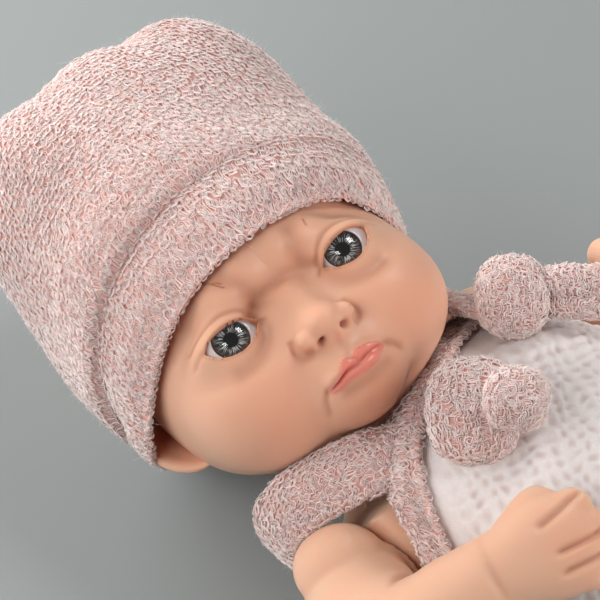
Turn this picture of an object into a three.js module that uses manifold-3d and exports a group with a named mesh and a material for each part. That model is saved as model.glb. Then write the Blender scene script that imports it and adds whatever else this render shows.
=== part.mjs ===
import * as THREE from 'three';
import { mergeVertices } from 'three/addons/utils/BufferGeometryUtils.js';
import startManifold from 'manifold-3d';

const solids = await startManifold();
solids.setup();

// Driving dimensions, in millimetres and degrees

const vinylWall = 3.0;
const fit = 0.35;
const clothGap = 1.0;
const eyeGap = 0.7;
const ballGap = 0.6;
const clothThick = 2.0;
const knitThick = 3.2;

// Head, in its own axes: l to the doll's left, f to the front, u to the crown
const headHalfWidth = 41.0;
const headHalfDepth = 45.0;
const headHalfHeight = 40.0;
const eyeSpacing = 38.4;
const eyeRadius = 9.0;
const eyeDepth = 31.2;
const irisRadius = 5.1;
const eyeOpeningWidth = 16.6;
const eyeOpeningHeight = 7.2;
const noseReach = 47.5;
const neckPivotDrop = 31.0;
const neckPivotBack = 12.0;
const neckBallRadius = 13.6;
const neckStemRadius = 4.6;

// Neck pivot in the doll's frame, and how the head lies at rest
const neckPivot = new THREE.Vector3(-72, 0, 38);
const neckStem = new THREE.Vector3(0.87, 0, -0.49);
const headFacing = new THREE.Vector3(0.138, -0.380, 0.915);
const headLeft = new THREE.Vector3(0.503, 0.823, 0.266);
const tiltBack = 50;
const tiltOn = 6;

// Hat, measured along its own axis from the middle of the skull
const hatLean = 23.4;
const hatEdge = -17;
const hatLeftDrop = 2.5;
const hatBackRise = 13;
const hatGroove = 9;
const hatTop = 82;
const hatBulge = 13;
const hatFlop = 30;
const hatSag = 6.8;
const hatCuffThick = 3.8;

// Shoulder joints
const shoulderX = -52;
const shoulderY = 43;
const shoulderZ = 34;
const armFaceRadius = 14.5;
const armPlugRadius = 7.0;
const armFlangeRadius = 9.6;

// Hip joints
const hipX = 47.5;
const hipY = 37.5;
const hipZ = 32;
const legFaceRadius = 20.0;
const legPlugRadius = 8.0;
const legFlangeRadius = 12.0;
const legReach = 74.5;

// Romper edges and knit trims
const bibTopX = -49;
const bibSideDip = 17.5;
const bibBackTopX = -42;
const bandWidth = 10;
const bandBackThick = 0.5;
const strapWidth = 15;
const strapThick = 2.0;
const strapHalfSpread = 21;
const garmentShift = 5;
const bowLobe = 9.5;
const rightBowAt = new THREE.Vector3(-33.5, -13, 76.2);
const leftBowAt = new THREE.Vector3(-32, 29, 74);
const legBandWidth = 5.0;
const sideSeamZ = 33;
const cutSize = 300;

// Torso sections: place along the body, half width, half depth, middle height
const torsoSections = [
  [-72, 4, 3, 24.5],
  [-69.5, 22, 9, 25],
  [-63, 34, 15.5, 26.5],
  [-55, 39, 22, 30],
  [-47, 41, 27, 32.8],
  [-34, 43, 31, 35],
  [-12, 44, 33.6, 35.4],
  [10, 45.5, 34.6, 36.4],
  [32, 45.5, 32.8, 35],
  [52, 39, 26, 31],
  [63, 25, 17, 28],
  [68, 6, 4, 26],
];
const torsoSquare = 2.4;
const torsoAround = 20;
const torsoAlong = 15;

// Materials

const finish = {
  vinyl: new THREE.MeshStandardMaterial({ name: 'vinyl', color: 0xd9a88a, roughness: 0.45 }),
  eye_white: new THREE.MeshStandardMaterial({ name: 'eye_white', color: 0xd8d2d0, roughness: 0.2 }),
  iris_grey: new THREE.MeshStandardMaterial({ name: 'iris_grey', color: 0x4a4a4c, roughness: 0.3 }),
  clear_dome: new THREE.MeshStandardMaterial({ name: 'clear_dome', color: 0xe8ecee, roughness: 0.05 }),
  knob_plastic: new THREE.MeshStandardMaterial({ name: 'knob_plastic', color: 0xcfc4b8, roughness: 0.5 }),
  knit_rose: new THREE.MeshStandardMaterial({ name: 'knit_rose', color: 0xd9b3a8, roughness: 0.95 }),
  waffle_white: new THREE.MeshStandardMaterial({ name: 'waffle_white', color: 0xe6ded8, roughness: 0.95 }),
};

// Small helpers

const vec = (x, y, z) => new THREE.Vector3(x, y, z);
const blend = (a, b, t) => a + (b - a) * t;

function ease(from, to, x) {
  const t = Math.min(1, Math.max(0, (x - from) / (to - from)));
  return t * t * (3 - 2 * t);
}

function signedPower(x, power) {
  return Math.sign(x) * Math.abs(x) ** power;
}

// A three.js surface with every point moved to place(u, v), u and v from its own map coordinates
function shaped(base, place) {
  const map = base.attributes.uv;
  const spot = base.attributes.position;
  for (let i = 0; i < spot.count; i += 1) {
    const p = place(map.getX(i), 1 - map.getY(i));
    spot.setXYZ(i, p.x, p.y, p.z);
  }
  return base;
}

// Closed bag: u runs round it, v from one end point to the other
function bag(around, along, place) {
  return shaped(new THREE.SphereGeometry(1, around, along), place);
}

// Closed ring: u runs along the ring, v round its section
function ring(along, section, place) {
  return shaped(new THREE.TorusGeometry(2, 1, section, along), place);
}

function solid(geometry) {
  const bare = new THREE.BufferGeometry();
  bare.setAttribute('position', geometry.attributes.position);
  bare.setIndex(geometry.index);
  const joined = mergeVertices(bare, 1e-4);
  const spot = joined.attributes.position;
  const faces = [];
  let volume = 0;
  const corner = [vec(0, 0, 0), vec(0, 0, 0), vec(0, 0, 0)];
  for (let i = 0; i < joined.index.count; i += 3) {
    const ids = [0, 1, 2].map((k) => joined.index.getX(i + k));
    if (ids[0] === ids[1] || ids[1] === ids[2] || ids[2] === ids[0]) continue;
    ids.forEach((id, k) => corner[k].fromBufferAttribute(spot, id));
    volume += corner[0].dot(corner[1].clone().cross(corner[2]));
    faces.push(ids);
  }
  const order = volume < 0 ? [0, 2, 1] : [0, 1, 2];
  const mesh = new solids.Mesh({
    numProp: 3,
    vertProperties: new Float32Array(spot.array),
    triVerts: new Uint32Array(faces.flatMap((ids) => order.map((k) => ids[k]))),
  });
  return new solids.Manifold(mesh);
}

function joined(parts) {
  return solids.Manifold.union(parts);
}

function largest(body) {
  const pieces = body.decompose();
  return pieces.reduce((a, b) => (b.volume() > a.volume() ? b : a));
}

// Corners closer than a hundredth of a millimetre become one, and faces folded flat by that go
function welded(body) {
  const mesh = body.getMesh();
  const raw = new THREE.BufferGeometry();
  raw.setAttribute('position', new THREE.BufferAttribute(new Float32Array(mesh.vertProperties), 3));
  raw.setIndex(new THREE.BufferAttribute(new Uint32Array(mesh.triVerts), 1));
  const close = mergeVertices(raw, 0.01);
  const kept = new Map();
  for (let i = 0; i < close.index.count; i += 3) {
    const ids = [0, 1, 2].map((k) => close.index.getX(i + k));
    if (new Set(ids).size < 3) continue;
    const key = [...ids].sort((a, b) => a - b).join(' ');
    if (kept.has(key)) kept.delete(key);
    else kept.set(key, ids);
  }
  close.setIndex([...kept.values()].flat());
  return close;
}

function node(name, body, material) {
  const geometry = welded(body);
  geometry.computeVertexNormals();
  const part = new THREE.Mesh(geometry, material);
  part.name = name;
  return part;
}

// Turned body about the line from a start point along a direction; profile pairs are radius, distance
function turned(start, direction, profile, around) {
  const points = profile.map(([r, d]) => new THREE.Vector2(r, d));
  const geometry = new THREE.LatheGeometry(points, around);
  const turn = new THREE.Quaternion().setFromUnitVectors(vec(0, 1, 0), direction.clone().normalize());
  geometry.applyQuaternion(turn);
  geometry.translate(start.x, start.y, start.z);
  return solid(geometry);
}

function rod(start, direction, radius, from, to, around = 20) {
  return turned(start, direction, [[0, from], [radius, from], [radius, to], [0, to]], around);
}

function ball(centre, radius, around = 24, along = 16) {
  const geometry = new THREE.SphereGeometry(radius, around, along);
  geometry.translate(centre.x, centre.y, centre.z);
  return solid(geometry);
}

// Rounded limb: centres with radii, a flat first face, a rounded far end
function limb(centres, radii, around, along, across = null) {
  const path = new THREE.CatmullRomCurve3(centres);
  const size = new THREE.CatmullRomCurve3(radii.map(([a, b]) => vec(a, b, 0)));
  const frames = [];
  let side = across;
  for (let k = 0; k <= along; k += 1) {
    const s = Math.max(0, (k - 1) / (along - 1));
    const ahead = path.getTangent(s);
    if (side === null) side = vec(0.3, 0.2, 1).cross(ahead);
    side = side.clone().addScaledVector(ahead, -side.dot(ahead)).normalize();
    const rise = ahead.clone().cross(side);
    const half = size.getPoint(s);
    const round = s > 0.9 ? Math.sqrt(Math.max(0, 1 - ((s - 0.9) / 0.1) ** 2)) : 1;
    const open = k === 0 ? 0 : round;
    frames.push({ at: path.getPoint(s), side, rise, a: half.x * open, b: half.y * open });
  }
  return solid(bag(around, along, (u, v) => {
    const frame = frames[Math.round(v * along)];
    const angle = 2 * Math.PI * u;
    return frame.at.clone()
      .addScaledVector(frame.side, frame.a * Math.cos(angle))
      .addScaledVector(frame.rise, frame.b * Math.sin(angle));
  }));
}

function pebble(centre, half, around, along) {
  const geometry = new THREE.SphereGeometry(1, around, along);
  geometry.scale(half.x, half.y, half.z);
  geometry.translate(centre.x, centre.y, centre.z);
  return solid(geometry);
}

// Head form: smooth union of rounded masses, in head axes (l, f, u)

const skullMiddle = vec(0, -5, 14);

function massDistance(p, centre, half) {
  const x = (p.x - centre[0]) / half[0];
  const y = (p.y - centre[1]) / half[1];
  const z = (p.z - centre[2]) / half[2];
  const near = Math.hypot(x, y, z);
  const slope = Math.hypot(x / half[0], y / half[1], z / half[2]);
  return (near * (near - 1)) / Math.max(slope, 1e-6);
}

function merge(a, b, reach) {
  const h = Math.max(reach - Math.abs(a - b), 0) / reach;
  return Math.min(a, b) - h * h * reach * 0.25;
}

function headDistance(p) {
  const q = vec(Math.abs(p.x), p.y, p.z);
  let d = massDistance(q, [0, -5, 14], [headHalfWidth, headHalfDepth, headHalfHeight]);
  d = merge(d, massDistance(q, [0, 6, -13], [30, 33, 26]), 12);
  d = merge(d, massDistance(q, [headHalfWidth - 14, 9, -5], [13.5, 22, 18]), 10);
  d = merge(d, massDistance(q, [20, 22, -16], [17.5, 18, 16]), 10);
  d = merge(d, massDistance(q, [0, 30, -33.5], [10, 9, 7.5]), 8);
  d = merge(d, massDistance(q, [0, 31, -26], [13, 11, 10]), 7);
  d = merge(d, massDistance(q, [eyeSpacing / 2, eyeDepth - 0.6, -0.8], [12, 11, 10.2]), 4);
  d = merge(d, massDistance(q, [9, 34.2, 9], [11, 7.6, 6.5]), 6);
  d = merge(d, massDistance(q, [0, 37.5, -7.5], [4.6, 6, 8.5]), 5);
  d = merge(d, massDistance(q, [0, noseReach - 5.5, -14.5], [6, 6.5, 5]), 5);
  d = merge(d, massDistance(q, [6.6, noseReach - 5.6, -16.2], [3.2, 3.8, 3.2]), 1.8);
  d = merge(d, massDistance(q, [3.8, 39.6, -26.8], [5.4, 4.2, 2.1]), 1.8);
  d = merge(d, massDistance(q, [0, 39.2, -30], [6.6, 4.3, 2.1]), 1.6);
  return d;
}

const headAxes = new THREE.Matrix4();
const faceAxis = headFacing.clone().normalize();
const leftAxis = headLeft.clone().addScaledVector(faceAxis, -headLeft.dot(faceAxis)).normalize();
const crownAxis = faceAxis.clone().cross(leftAxis);
const headOrigin = neckPivot.clone()
  .addScaledVector(faceAxis, neckPivotBack)
  .addScaledVector(crownAxis, neckPivotDrop);
headAxes.makeBasis(leftAxis, faceAxis, crownAxis).setPosition(headOrigin);
const placed = (p) => p.clone().applyMatrix4(headAxes);

function headSkin(around, along) {
  const middle = vec(0, -2, 2);
  const nose = vec(0, 50, -16).sub(middle).normalize();
  const across = vec(1, 0, 0);
  const over = nose.clone().cross(across);
  return solid(bag(around, along, (u, v) => {
    const open = Math.PI * v ** 1.25;
    const angle = 2 * Math.PI * u;
    const way = nose.clone().multiplyScalar(Math.cos(open))
      .addScaledVector(across, Math.sin(open) * Math.cos(angle))
      .addScaledVector(over, Math.sin(open) * Math.sin(angle));
    let reach = 90;
    for (let k = 0; k < 60; k += 1) reach -= 0.8 * headDistance(middle.clone().addScaledVector(way, reach));
    return placed(middle.clone().addScaledVector(way, reach));
  }));
}

function headPebble(centre, half, around, along) {
  const geometry = new THREE.SphereGeometry(1, around, along);
  geometry.scale(half.x, half.y, half.z);
  geometry.translate(centre.x, centre.y, centre.z);
  geometry.applyMatrix4(headAxes);
  return solid(geometry);
}

const eyeCentre = (side) => vec(side * eyeSpacing / 2, eyeDepth, -0.8);

function eyeOpening(side) {
  const half = eyeOpeningWidth / 2;
  const rise = eyeOpeningHeight / 2;
  const lids = new THREE.Shape();
  lids.moveTo(-half, -0.9);
  lids.bezierCurveTo(-half * 0.5, rise * 1.3, half * 0.4, rise * 1.5, half, 0.9);
  lids.bezierCurveTo(half * 0.5, -rise * 1.5, -half * 0.5, -rise * 1.3, -half, -0.9);
  const geometry = new THREE.ExtrudeGeometry(lids, { depth: 30, bevelEnabled: false, curveSegments: 7 });
  geometry.scale(side, 1, 1);
  geometry.rotateX(Math.PI / 2);
  const c = eyeCentre(side);
  geometry.translate(c.x, c.y + 31, c.z);
  geometry.applyMatrix4(headAxes);
  return solid(geometry);
}

// Neck: the tilt turns about an axis square to the stem

const stemAxis = neckStem.clone().normalize();
const tiltAxis = crownAxis.clone().cross(stemAxis).normalize();
const cupInner = neckBallRadius + ballGap;
const cupOuter = cupInner + vinylWall;

// Fan-shaped slot that the stem sweeps through the neck cup as the head tilts
function stemSlot() {
  const room = neckStemRadius + 0.6;
  const spare = Math.asin(room / cupInner) + 0.04;
  const reach = cupOuter + 8;
  const fan = new THREE.Shape();
  fan.moveTo(0, 0);
  const steps = 6;
  for (let k = 0; k <= steps; k += 1) {
    const low = -tiltOn * THREE.MathUtils.DEG2RAD - spare;
    const high = tiltBack * THREE.MathUtils.DEG2RAD + spare;
    const angle = blend(low, high, k / steps);
    fan.lineTo(reach * Math.cos(angle), reach * Math.sin(angle));
  }
  const geometry = new THREE.ExtrudeGeometry(fan, { depth: 2 * room, bevelEnabled: false });
  geometry.translate(0, 0, -room);
  const axes = new THREE.Matrix4().makeBasis(stemAxis, tiltAxis.clone().cross(stemAxis), tiltAxis);
  geometry.applyMatrix4(axes.setPosition(neckPivot));
  return solid(geometry);
}

function headShell() {
  const skull = headSkin(32, 21);
  const ears = [-1, 1].map((side) => headPebble(
    vec(side * (headHalfWidth - 3), -5, -7), vec(4.5, 8, 11), 8, 6,
  ));
  const neckCentre = vec(0, -neckPivotBack, -neckPivotDrop);
  const neckOuter = headPebble(neckCentre, vec(cupOuter, cupOuter, cupOuter), 16, 10);
  const cavity = joined([
    headPebble(skullMiddle, vec(headHalfWidth - 5, headHalfDepth - 5, headHalfHeight - 5), 12, 8),
    headPebble(vec(0, 3, -12), vec(24, 24, 19), 10, 7),
  ]);
  const pockets = [-1, 1].map((side) => {
    const room = eyeRadius + eyeGap;
    return headPebble(eyeCentre(side), vec(room, room, room), 12, 8);
  });
  const socket = ball(neckPivot, cupInner, 16, 10);
  const openings = [-1, 1].map((side) => eyeOpening(side));
  const outer = joined([skull, neckOuter, ...ears]);
  return largest(outer.subtract(joined([cavity, socket, ...pockets, ...openings, stemSlot()])));
}

// Eye parts, each about the line of sight

const gaze = vec(-0.06, 1, -0.01).normalize();

function eyeParts(side) {
  const centre = placed(eyeCentre(side));
  const sight = placed(eyeCentre(side).add(gaze)).sub(centre);
  const seat = Math.sqrt(eyeRadius ** 2 - (irisRadius + 0.3) ** 2);
  const white = turned(centre, sight, eyeProfile(seat), 14);
  const iris = rod(centre, sight, irisRadius, seat - 0.8, seat, 16);
  const dome = [];
  for (let k = 0; k <= 4; k += 1) {
    const angle = (k / 4) * Math.PI / 2;
    dome.push([(irisRadius + 0.1) * Math.cos(angle), seat + 0.2 + 1.7 * Math.sin(angle)]);
  }
  const clear = turned(centre, sight, [[0, seat + 0.1], [irisRadius + 0.1, seat + 0.1], ...dome], 16);
  return { white, iris, clear };
}

function eyeProfile(seat) {
  const start = Math.asin(seat / eyeRadius);
  const points = [];
  for (let k = 0; k <= 6; k += 1) {
    const angle = blend(-Math.PI / 2, start, k / 6);
    points.push([k === 0 ? 0 : eyeRadius * Math.cos(angle), eyeRadius * Math.sin(angle)]);
  }
  points.push([irisRadius + 0.15, seat]);
  points.push([irisRadius + 0.15, seat - 1]);
  points.push([0, seat - 1]);
  return points;
}

// Hat: a loose bag about its own leaning axis

const leanAngle = hatLean * THREE.MathUtils.DEG2RAD;
const hatUp = vec(0, -Math.sin(leanAngle), Math.cos(leanAngle));
const hatFront = vec(0, Math.cos(leanAngle), Math.sin(leanAngle));

// Lower edge of the hat: lowest at the doll's left, riding up behind the right ear and at the nape
function hatEdgeAt(angle) {
  const behind = -Math.sin(angle + 25 * THREE.MathUtils.DEG2RAD);
  return hatEdge + hatBackRise * ease(0, 0.9, behind) - hatLeftDrop * ease(0.2, 1, Math.cos(angle));
}

function hatPoint(angle, height, out) {
  const low = ease(hatEdge - 3, 22, height);
  const high = Math.min(1, Math.max(0, (height - 20) / (hatTop - 20)));
  const square = (1 - high ** 3.6) ** (1 / 3.6);
  const dome = (1 - high ** 1.5) ** (1 / 1.5);
  const left = headHalfWidth + blend(3.3, hatBulge, low);
  const right = headHalfWidth + blend(4.5, 4, low);
  const front = headHalfDepth + 0.6;
  const back = headHalfDepth + 1.9 + hatSag * ease(0, 30, height);
  const halfWidth = ((Math.cos(angle) > 0 ? left : right) + out) * square;
  const depth = ((Math.sin(angle) > 0 ? front : back) + out) * dome;
  return placed(skullMiddle.clone()
    .addScaledVector(vec(1, 0, 0), halfWidth * Math.cos(angle))
    .addScaledVector(hatFront, hatFlop * ease(0, 1, high) + depth * Math.sin(angle))
    .addScaledVector(hatUp, height + out * high));
}

function hatCrown() {
  return solid(bag(28, 17, (u, v) => {
    const outer = v < 0.5;
    const angle = 2 * Math.PI * u;
    const down = Math.min(1, (outer ? v : 1 - v) / 0.48);
    return hatPoint(angle, blend(hatTop, hatEdgeAt(angle) + 2, down ** 1.6), outer ? knitThick : 0);
  }));
}

function hatCuff() {
  return solid(ring(38, 8, (u, v) => {
    const angle = 2 * Math.PI * u;
    const turn = 2 * Math.PI * v;
    const half = (hatGroove - hatEdgeAt(angle)) / 2;
    const height = hatGroove - half + half * signedPower(Math.cos(turn), 0.5);
    const out = knitThick + 3.5 * fit + (hatCuffThick / 2) * (1 + signedPower(Math.sin(turn), 0.6));
    return hatPoint(angle, height, out);
  }));
}

// Torso form: squared ovals along the body

function section(x) {
  const rows = torsoSections;
  let k = 0;
  while (k < rows.length - 2 && x > rows[k + 1][0]) k += 1;
  const before = rows[Math.max(0, k - 1)];
  const a = rows[k];
  const b = rows[k + 1];
  const after = rows[Math.min(rows.length - 1, k + 2)];
  const t = Math.min(1, Math.max(0, (x - a[0]) / (b[0] - a[0])));
  const span = b[0] - a[0];
  return [1, 2, 3].map((i) => {
    const slopeA = ((b[i] - before[i]) / (b[0] - before[0])) * span;
    const slopeB = ((after[i] - a[i]) / (after[0] - a[0])) * span;
    return (2 * t ** 3 - 3 * t ** 2 + 1) * a[i] + (t ** 3 - 2 * t ** 2 + t) * slopeA
      + (3 * t ** 2 - 2 * t ** 3) * b[i] + (t ** 3 - t ** 2) * slopeB;
  });
}

function torsoLevel(p) {
  const [w, h, c] = section(p.x);
  return Math.abs(p.y / w) ** torsoSquare + Math.abs((p.z - c) / h) ** torsoSquare - 1;
}

function torsoNormal(p) {
  const step = 0.05;
  const slope = (axis) => {
    const up = p.clone().addScaledVector(axis, step);
    const down = p.clone().addScaledVector(axis, -step);
    return torsoLevel(up) - torsoLevel(down);
  };
  return vec(slope(vec(1, 0, 0)), slope(vec(0, 1, 0)), slope(vec(0, 0, 1))).normalize();
}

function torsoPoint(x, angle, out) {
  const [w, h, c] = section(x);
  const power = 2 / torsoSquare;
  const p = vec(x, w * signedPower(Math.cos(angle), power), c + h * signedPower(Math.sin(angle), power));
  return p.addScaledVector(torsoNormal(p), out);
}

const torsoStart = torsoSections[0][0];
const torsoEnd = torsoSections[torsoSections.length - 1][0];

function torsoLoft(from, to, out, around, along) {
  return solid(bag(around, along, (u, v) => {
    if (v <= 0) return vec(from - out, 0, section(from)[2]);
    if (v >= 1) return vec(to + out, 0, section(to)[2]);
    const run = (v * along - 1) / (along - 2);
    const crowded = (1 - Math.cos(Math.PI * run)) / 2;
    return torsoPoint(blend(from, to, blend(run, crowded, 0.6)), 2 * Math.PI * u, out);
  }));
}

// Joint frames

const shoulder = (side) => ({
  at: vec(shoulderX, side * shoulderY, shoulderZ),
  out: vec(-0.1, side * 0.95, 0.22).normalize(),
});
const hip = (side) => ({
  at: vec(hipX, side * hipY, hipZ),
  out: vec(0.46, side * 0.86, 0.22).normalize(),
});

function socketCut(joint, plug, flange, depth) {
  return joined([
    rod(joint.at, joint.out, plug + fit, -vinylWall - 1, 1, 14),
    rod(joint.at, joint.out, flange + 0.6, -depth, -vinylWall, 14),
  ]);
}

function plugParts(joint, plug, flange) {
  return [
    rod(joint.at, joint.out, plug, -vinylWall - 1, 2, 18),
    rod(joint.at, joint.out, flange, -vinylWall - fit - 2.2, -vinylWall - fit, 18),
  ];
}

function torsoShell() {
  let body = torsoLoft(torsoStart, torsoEnd, 0, torsoAround, torsoAlong);
  let room = torsoLoft(-58, torsoEnd - 6, -vinylWall, 12, 7);
  room = room.subtract(ball(neckPivot, cupOuter + ballGap + vinylWall, 12, 8));
  const cuts = [ball(neckPivot, cupOuter + ballGap, 16, 10)];
  for (const side of [-1, 1]) {
    const arm = shoulder(side);
    const leg = hip(side);
    body = body.add(rod(arm.at, arm.out, armFaceRadius + 0.5, -9.5, 0, 20));
    cuts.push(rod(arm.at, arm.out, 34, 0, 40, 12));
    cuts.push(socketCut(arm, armPlugRadius, armFlangeRadius, 11));
    cuts.push(rod(leg.at, leg.out, 60, 0, 40, 12));
    cuts.push(socketCut(leg, legPlugRadius, legFlangeRadius, 8));
    room = room.subtract(rod(leg.at, leg.out, 60, -vinylWall, 60, 12));
  }
  const stemHole = rod(neckPivot, stemAxis, neckStemRadius + fit, 10, 40, 16);
  const knobRoom = rod(neckPivot, stemAxis, 9.2, 22, 40, 16);
  return largest(body.subtract(joined([room, stemHole, knobRoom, ...cuts])));
}

function neckKnob() {
  return joined([
    ball(neckPivot, neckBallRadius, 16, 10),
    rod(neckPivot, stemAxis, neckStemRadius, 8, 23, 16),
    rod(neckPivot, stemAxis, 8.6, 22.4, 25, 16),
  ]);
}

// Limbs

// Finger bone with rounded ends from one point to the next
function bone(from, to, radius) {
  const way = to.clone().sub(from);
  const geometry = new THREE.CapsuleGeometry(radius, way.length(), 2, 6);
  geometry.applyQuaternion(new THREE.Quaternion().setFromUnitVectors(vec(0, 1, 0), way.clone().normalize()));
  geometry.translate((from.x + to.x) / 2, (from.y + to.y) / 2, (from.z + to.z) / 2);
  return solid(geometry);
}

function digit(points, radius) {
  return points.slice(1).map((p, k) => bone(points[k], p, radius * (1 - 0.05 * k)));
}

// Hand from the wrist: ahead runs to the fingers, back is the back of the hand, thumb the thumb side
function hand(wrist, ahead, back, side) {
  const front = ahead.clone().normalize();
  const top = back.clone().addScaledVector(front, -back.dot(front)).normalize();
  const thumb = top.clone().cross(front).multiplyScalar(-side);
  const at = (a, t, b) => wrist.clone()
    .addScaledVector(front, a).addScaledVector(thumb, t).addScaledVector(top, b);
  const palm = limb(
    [at(-3, 0, 0), at(5, 0, 0.4), at(14, 0.5, 1), at(22, 0.5, 0), at(25, 0.5, -1)],
    [[10, 9], [11.5, 9.5], [13, 8.6], [12, 7], [8, 4]],
    10, 6, thumb,
  );
  const fingers = [-1.5, -0.5, 0.5, 1.5].flatMap((k) => {
    const long = 1 - 0.05 * (k - 0.5) ** 2;
    const off = k * 6;
    return digit([at(14, off * 0.85, 0.8), at(26 * long, off, 0.2), at(21 * long, off * 0.95, -7)], 4.3);
  });
  const thumbPart = digit([at(6, 8, -1), at(15, 12, -3.4), at(23, 9.5, -6.5)], 4.4);
  return [palm, ...fingers, ...thumbPart];
}

function armBody(side, path, radii, wrist, ahead, back) {
  const joint = shoulder(side);
  const start = joint.at.clone().addScaledVector(joint.out, fit);
  const next = joint.at.clone().addScaledVector(joint.out, 6);
  const centres = [start, next, ...path, wrist];
  const sizes = [[armFaceRadius, armFaceRadius], [armFaceRadius, armFaceRadius], ...radii];
  return largest(joined([
    limb(centres, sizes, 12, 11),
    ...hand(wrist, ahead, back, side),
    ...plugParts(joint, armPlugRadius, armFlangeRadius),
  ]));
}

function rightArm() {
  return armBody(
    -1,
    [vec(-51, -57.5, 40), vec(-42, -65, 46), vec(-32, -67, 52), vec(-24.5, -61, 59)],
    [[15.5, 15.5], [14.5, 14.5], [13.8, 13.8], [12.8, 12.8], [10.5, 10.5]],
    vec(-17.5, -55.5, 67),
    vec(0.77, 0.57, 0.28),
    vec(0.24, -0.66, 0.71),
  );
}

function leftArm() {
  return armBody(
    1,
    [vec(-51, 58, 36), vec(-38, 69, 31), vec(-27, 75, 32), vec(-21, 74, 39)],
    [[16, 15.5], [14.5, 14.5], [13.6, 13.6], [13, 13], [10.5, 10.5]],
    vec(-17, 71, 46),
    vec(0.35, -0.25, 0.9),
    vec(0.3, 0.9, 0.2),
  );
}

function legBody(side) {
  const joint = hip(side);
  const start = joint.at.clone().addScaledVector(joint.out, fit);
  const next = joint.at.clone().addScaledVector(joint.out, 9);
  const at = (run, y, z) => vec(hipX + run * legReach, side * y, z);
  const face = [legFaceRadius, legFaceRadius];
  const shin = limb(
    [start, next, at(0.248, 59, 38), at(0.463, 66, 45),
      at(0.638, 64, 39), at(0.8, 59, 26), at(0.893, 56, 15)],
    [face, face, [20.5, 20], [17.5, 18], [15.5, 15.5], [13, 13], [11, 11]],
    12, 11,
  );
  const foot = limb(
    [at(0.866, 57, 2.6), at(0.893, 57, 7.6), at(0.946, 57, 18),
      at(0.987, 58, 30), at(1, 59, 40), at(1, 59.5, 45)],
    [[6, 7], [10, 10.6], [10, 11], [8.6, 12.5], [6.8, 13], [4, 9]],
    10, 7,
  );
  const toes = [0, 1, 2, 3, 4].map((k) => {
    const size = k === 0 ? 4.8 : 3.9 - 0.25 * k;
    const across = 50.5 + 4.6 * k + (k === 0 ? -0.6 : 0);
    return pebble(at(0.993, across, 48 - 1.1 * k), vec(size, size, size * 1.15), 7, 5);
  });
  return largest(joined([shin, foot, ...toes, ...plugParts(joint, legPlugRadius, legFlangeRadius)]));
}

// Romper and its knit trims

function rimX(angle) {
  const sideways = Math.abs(Math.cos(angle));
  const front = bibTopX + bibSideDip * sideways ** 4;
  const rear = bibBackTopX + (bibTopX + bibSideDip - bibBackTopX) * sideways ** 2.2;
  return Math.sin(angle) > 0 ? front : rear;
}

function romperPanels() {
  const inside = clothGap;
  const outside = clothGap + clothThick;
  const cup = solid(bag(26, 15, (u, v) => {
    const outer = v < 0.5;
    const angle = 2 * Math.PI * u;
    const run = Math.min(1, (outer ? v : 1 - v) / 0.466);
    const x = blend(torsoEnd - 0.5, rimX(angle), run ** 1.4);
    if (run === 0) return vec(torsoEnd + 1.4 + (outer ? outside : inside), 0, section(torsoEnd)[2]);
    return torsoPoint(x, angle, outer ? outside : inside);
  }));
  const cuts = [];
  for (const side of [-1, 1]) {
    const leg = hip(side);
    cuts.push(rod(leg.at, leg.out, 60, 0, 60, 12));
    cuts.push(rod(leg.at, leg.out, legFlangeRadius + 2, -7, 1, 16));
  }
  const floor = new THREE.BoxGeometry(cutSize, cutSize, cutSize);
  floor.translate(0, 0, -cutSize / 2);
  cuts.push(solid(floor));
  cuts.push(torsoLoft(torsoStart, torsoEnd, fit, torsoAround, torsoAlong));
  const whole = cup.subtract(joined(cuts));
  const upper = new THREE.BoxGeometry(cutSize, cutSize, cutSize);
  upper.translate(0, 0, sideSeamZ + cutSize / 2);
  const lower = new THREE.BoxGeometry(cutSize, cutSize, cutSize);
  lower.translate(0, 0, sideSeamZ - cutSize / 2 - fit);
  return { front: largest(whole.intersect(solid(upper))), back: largest(whole.intersect(solid(lower))) };
}

function neckBand() {
  return solid(ring(40, 8, (u, v) => {
    const angle = 2 * Math.PI * u;
    const turn = 2 * Math.PI * v;
    const half = bandWidth / 2;
    const x = rimX(angle) + 1.5 + half * signedPower(Math.cos(turn), 0.5);
    const thick = blend(knitThick, bandBackThick, ease(0.35, 0.8, -Math.sin(angle)));
    const out = fit + clothGap + clothThick + (thick / 2) * (1 + signedPower(Math.sin(turn), 0.6));
    return torsoPoint(x, angle, out);
  }));
}

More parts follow.
